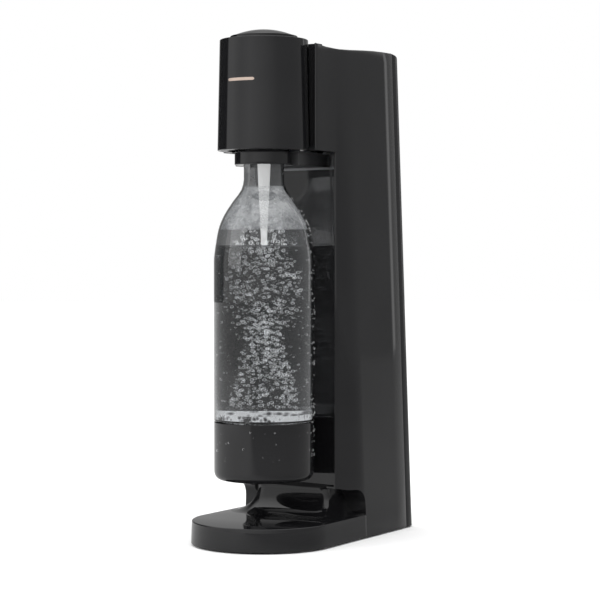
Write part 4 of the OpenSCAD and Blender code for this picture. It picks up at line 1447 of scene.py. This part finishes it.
@dataclass
class Works:
    """The inner parts, whose CAD shapes are right and only need a finish."""

    finishes: dict[str, Finish] = field(
        default_factory=lambda: {
            "base_plate": SATIN, "rubber_feet": RUBBER, "base_screws": ZINC, "head_underside": SATIN,
            "top_cover": GLOSS, "button_guide": WHITE, "chassis": SHEET, "chassis_screws": ZINC,
            "head_screws": ZINC, "cylinder_cradle": SATIN, "cylinder_body": ALUMINIUM,
            "cylinder_sleeve": SLEEVE, "cylinder_valve": BRASS, "valve_washer": GASKET,
            "valve_block": CAST, "valve_block_screws": ZINC, "relief_valve": BRASS,
            "valve_plunger": BRASS, "plunger_seal": GASKET, "actuator_lever": SHEET,
            "lever_adjusting_screw": ZINC, "lever_pivot_pin": ZINC, "lever_clips": ZINC,
            "tilt_yoke": SATIN, "yoke_pivot_pins": ZINC, "collar_screws": ZINC, "nozzle_block": SATIN,
            "bottle_seal": GASKET, "vent_valve": BRASS, "hose_fittings": BRASS,
        }
    )

    def make(self) -> None:
        """Gives each CAD piece its finish."""
        for name, finish in self.finishes.items():
            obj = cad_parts[name]
            obj.data.materials.clear()
            obj.data.materials.append(finish.material())
            obj.data.polygons.foreach_set("use_smooth", [True] * len(obj.data.polygons))
            obj.data.set_sharp_from_angle(angle=SMOOTH_ANGLE)
            log.info("dressed %s in %s", name, finish.name)


# ---- Studio ----


@dataclass
class Studio:
    """Floor, lights and camera."""

    plan: Plan
    azimuth: float = math.radians(31.5)
    distance: float = 1.557
    height: float = 0.233
    lens: float = 114.0
    aim_right: float = math.radians(1.085)
    aim_down: float = math.radians(1.206)
    fill: float = 1.25
    dim: float = 0.27
    dim_left: float = 0.55
    through: float = 0.16
    sky: float = 1.5
    walls: tuple[Point2, ...] = (
        (0.0, 0.4), (0.04, 0.3), (0.075, 0.03), (0.2, 0.03), (0.212, 0.8), (0.26, 1.0), (0.33, 0.85),
        (0.40, 1.0), (0.50, 0.75), (0.60, 0.45), (0.80, 0.32), (0.842, 0.25), (0.849, 0.9), (0.858, 0.9),
        (0.866, 0.3), (0.93, 0.35), (1.0, 0.4),
    )

    def camera(self) -> None:
        """Sets up the camera."""
        data = bpy.data.cameras.new("camera")
        data.lens, data.sensor_width = self.lens, 36.0
        camera = bpy.data.objects.new("camera", data)
        bpy.context.scene.collection.objects.link(camera)
        camera.location = (
            self.distance * math.sin(self.azimuth),
            self.plan.axis_y - self.distance * math.cos(self.azimuth),
            self.height,
        )
        camera.rotation_euler = (math.pi / 2 - self.aim_down, 0.0, self.azimuth - self.aim_right)
        bpy.context.scene.camera = camera

    def floor(self) -> None:
        """Lays a plain pale floor."""
        skin = Skin()
        n = 64
        rings = []
        for r in (0.0, 1.0, 3.0, 9.0):
            angles = [2 * math.pi * k / n for k in range(n)]
            rings.append([(r * math.cos(a), r * math.sin(a), 0.0) for a in angles])
        skin.loft(rings, caps=False)
        mesh = bpy.data.meshes.new("floor")
        mesh.from_pydata(skin.points, [], skin.faces)
        floor = bpy.data.objects.new("floor", mesh)
        bpy.context.scene.collection.objects.link(floor)
        pale = Finish("pale_floor", "", (0.9, 0.9, 0.9), rough=0.6, dust=0.0, relief=0.00001, specular=0.0)
        material = pale.material()
        self.shade_floor(material)
        mesh.materials.append(material)

    def shade_floor(self, material: bpy.types.Material) -> None:
        """Dims the floor in reflections and through glass, as black card round the set does."""
        tree = material.node_tree
        shader = tree.nodes["Principled BSDF"]
        source = shader.inputs["Base Color"].links[0].from_socket
        path = tree.nodes.new("ShaderNodeLightPath")
        lit = tree.nodes.new("ShaderNodeMath")
        lit.operation = "MAXIMUM"
        tree.links.new(path.outputs["Is Camera Ray"], lit.inputs[0])
        tree.links.new(path.outputs["Is Diffuse Ray"], lit.inputs[1])
        unlit = self.grey(tree, path.outputs["Is Transmission Ray"], self.card_shade(tree), self.through)
        shade = self.grey(tree, lit.outputs[0], unlit, source)
        tree.links.new(shade, shader.inputs["Base Color"])

    @staticmethod
    def grey(
        tree: bpy.types.NodeTree, share: bpy.types.NodeSocket, first: object, second: object
    ) -> bpy.types.NodeSocket:
        """Mixes two shades.

        Args:
            tree: The node tree that takes the mix.
            share: How much of the second.
            first: The first shade, as a socket or a number.
            second: The second shade, as a socket or a number.

        Returns:
            The mixed shade's socket.
        """
        mix = tree.nodes.new("ShaderNodeMix")
        mix.data_type = "RGBA"
        tree.links.new(share, mix.inputs[0])
        for socket, shade in ((mix.inputs[6], first), (mix.inputs[7], second)):
            if isinstance(shade, float):
                socket.default_value = (shade, shade, shade, 1.0)
            else:
                tree.links.new(shade, socket)
        return mix.outputs[2]

    def card_shade(self, tree: bpy.types.NodeTree) -> bpy.types.NodeSocket:
        """Returns how pale the floor's reflection is, which falls from left to right."""
        place = tree.nodes.new("ShaderNodeTexCoord")
        split = tree.nodes.new("ShaderNodeSeparateXYZ")
        tree.links.new(place.outputs["Object"], split.inputs["Vector"])
        across = tree.nodes.new("ShaderNodeMapRange")
        across.interpolation_type = "SMOOTHSTEP"
        across.inputs["From Min"].default_value, across.inputs["From Max"].default_value = -0.05, 0.15
        across.inputs["To Min"].default_value, across.inputs["To Max"].default_value = self.dim_left, self.dim
        tree.links.new(split.outputs["X"], across.inputs["Value"])
        return across.outputs["Result"]

    def softbox(self, name: str, at: Point3, aim: Point3, size: Point2, power: float) -> None:
        """Adds one soft rectangular light.

        Args:
            name: The light's name.
            at: Where it hangs.
            aim: The point that it faces.
            size: Its width and height.
            power: Its strength in watts.
        """
        data = bpy.data.lights.new(name, "AREA")
        data.shape, data.size, data.size_y, data.energy = "RECTANGLE", size[0], size[1], power
        light = bpy.data.objects.new(name, data)
        bpy.context.scene.collection.objects.link(light)
        light.location = at
        light.visible_glossy = False
        light.rotation_euler = (Vector(aim) - Vector(at)).to_track_quat("-Z", "Y").to_euler()

    def world(self) -> None:
        """Makes the world: walls that differ all the way round, a pale roof, and white behind."""
        world = bpy.data.worlds.new("studio")
        bpy.context.scene.world = world
        world.use_nodes = True
        tree = world.node_tree
        background = tree.nodes["Background"]
        background.inputs["Strength"].default_value = 1.0
        seen = tree.nodes.new("ShaderNodeLightPath")
        place = tree.nodes.new("ShaderNodeTexCoord")
        turned = tree.nodes.new("ShaderNodeMapping")
        turned.vector_type = "POINT"
        turned.inputs["Rotation"].default_value = (0.0, 0.0, -self.azimuth)
        tree.links.new(place.outputs["Generated"], turned.inputs["Vector"])
        split = tree.nodes.new("ShaderNodeSeparateXYZ")
        tree.links.new(turned.outputs["Vector"], split.inputs["Vector"])
        toward = tree.nodes.new("ShaderNodeMath")
        toward.operation = "MULTIPLY"
        toward.inputs[1].default_value = -1.0
        tree.links.new(split.outputs["Y"], toward.inputs[0])
        angle = tree.nodes.new("ShaderNodeMath")
        angle.operation = "ARCTAN2"
        tree.links.new(split.outputs["X"], angle.inputs[0])
        tree.links.new(toward.outputs[0], angle.inputs[1])
        share = tree.nodes.new("ShaderNodeMapRange")
        share.inputs["From Min"].default_value = -math.pi
        share.inputs["From Max"].default_value = math.pi
        tree.links.new(angle.outputs[0], share.inputs["Value"])
        ramp = tree.nodes.new("ShaderNodeValToRGB")
        stops = ramp.color_ramp.elements
        for _ in range(len(self.walls) - len(stops)):
            stops.new(0.5)
        for stop, (place_round, value) in zip(stops, self.walls):
            stop.position = place_round
            stop.color = (value, value, value, 1.0)
        tree.links.new(share.outputs["Result"], ramp.inputs["Fac"])
        high = tree.nodes.new("ShaderNodeMapRange")
        high.inputs["From Min"].default_value, high.inputs["From Max"].default_value = 0.55, 0.8
        tree.links.new(split.outputs["Z"], high.inputs["Value"])
        roof = self.grey(tree, high.outputs["Result"], ramp.outputs["Color"], self.sky)
        passed = self.grey(tree, seen.outputs["Is Transmission Ray"], roof, self.through)
        shone = self.grey(tree, seen.outputs["Is Diffuse Ray"], passed, self.fill)
        shown = self.grey(tree, seen.outputs["Is Camera Ray"], shone, 1.0)
        tree.links.new(shown, background.inputs["Color"])

    def make(self) -> None:
        """Sets up the whole studio."""
        bpy.context.scene.view_settings.view_transform = "Standard"
        self.camera()
        self.floor()
        self.world()
        middle = (0.0, 0.0, 0.2)
        self.softbox("key_left", (-1.5, -1.7, 1.0), middle, (1.6, 1.6), 12.0)
        self.softbox("overhead", (0.1, -0.2, 2.0), middle, (1.8, 1.8), 16.0)


def main() -> None:
    """Builds every sub-assembly in order."""
    logging.basicConfig(level=logging.INFO, format="%(message)s")
    plan = Plan.from_frame()
    Studio(plan).make()
    shells = (Housing(plan), RearCover(plan), FrontPanel(plan))
    for part in (*shells, Head(plan), Holder(plan), Bottle(plan), Works()):
        log.info("building %s", type(part).__name__)
        part.make()


if __name__ == "__main__":
    main()
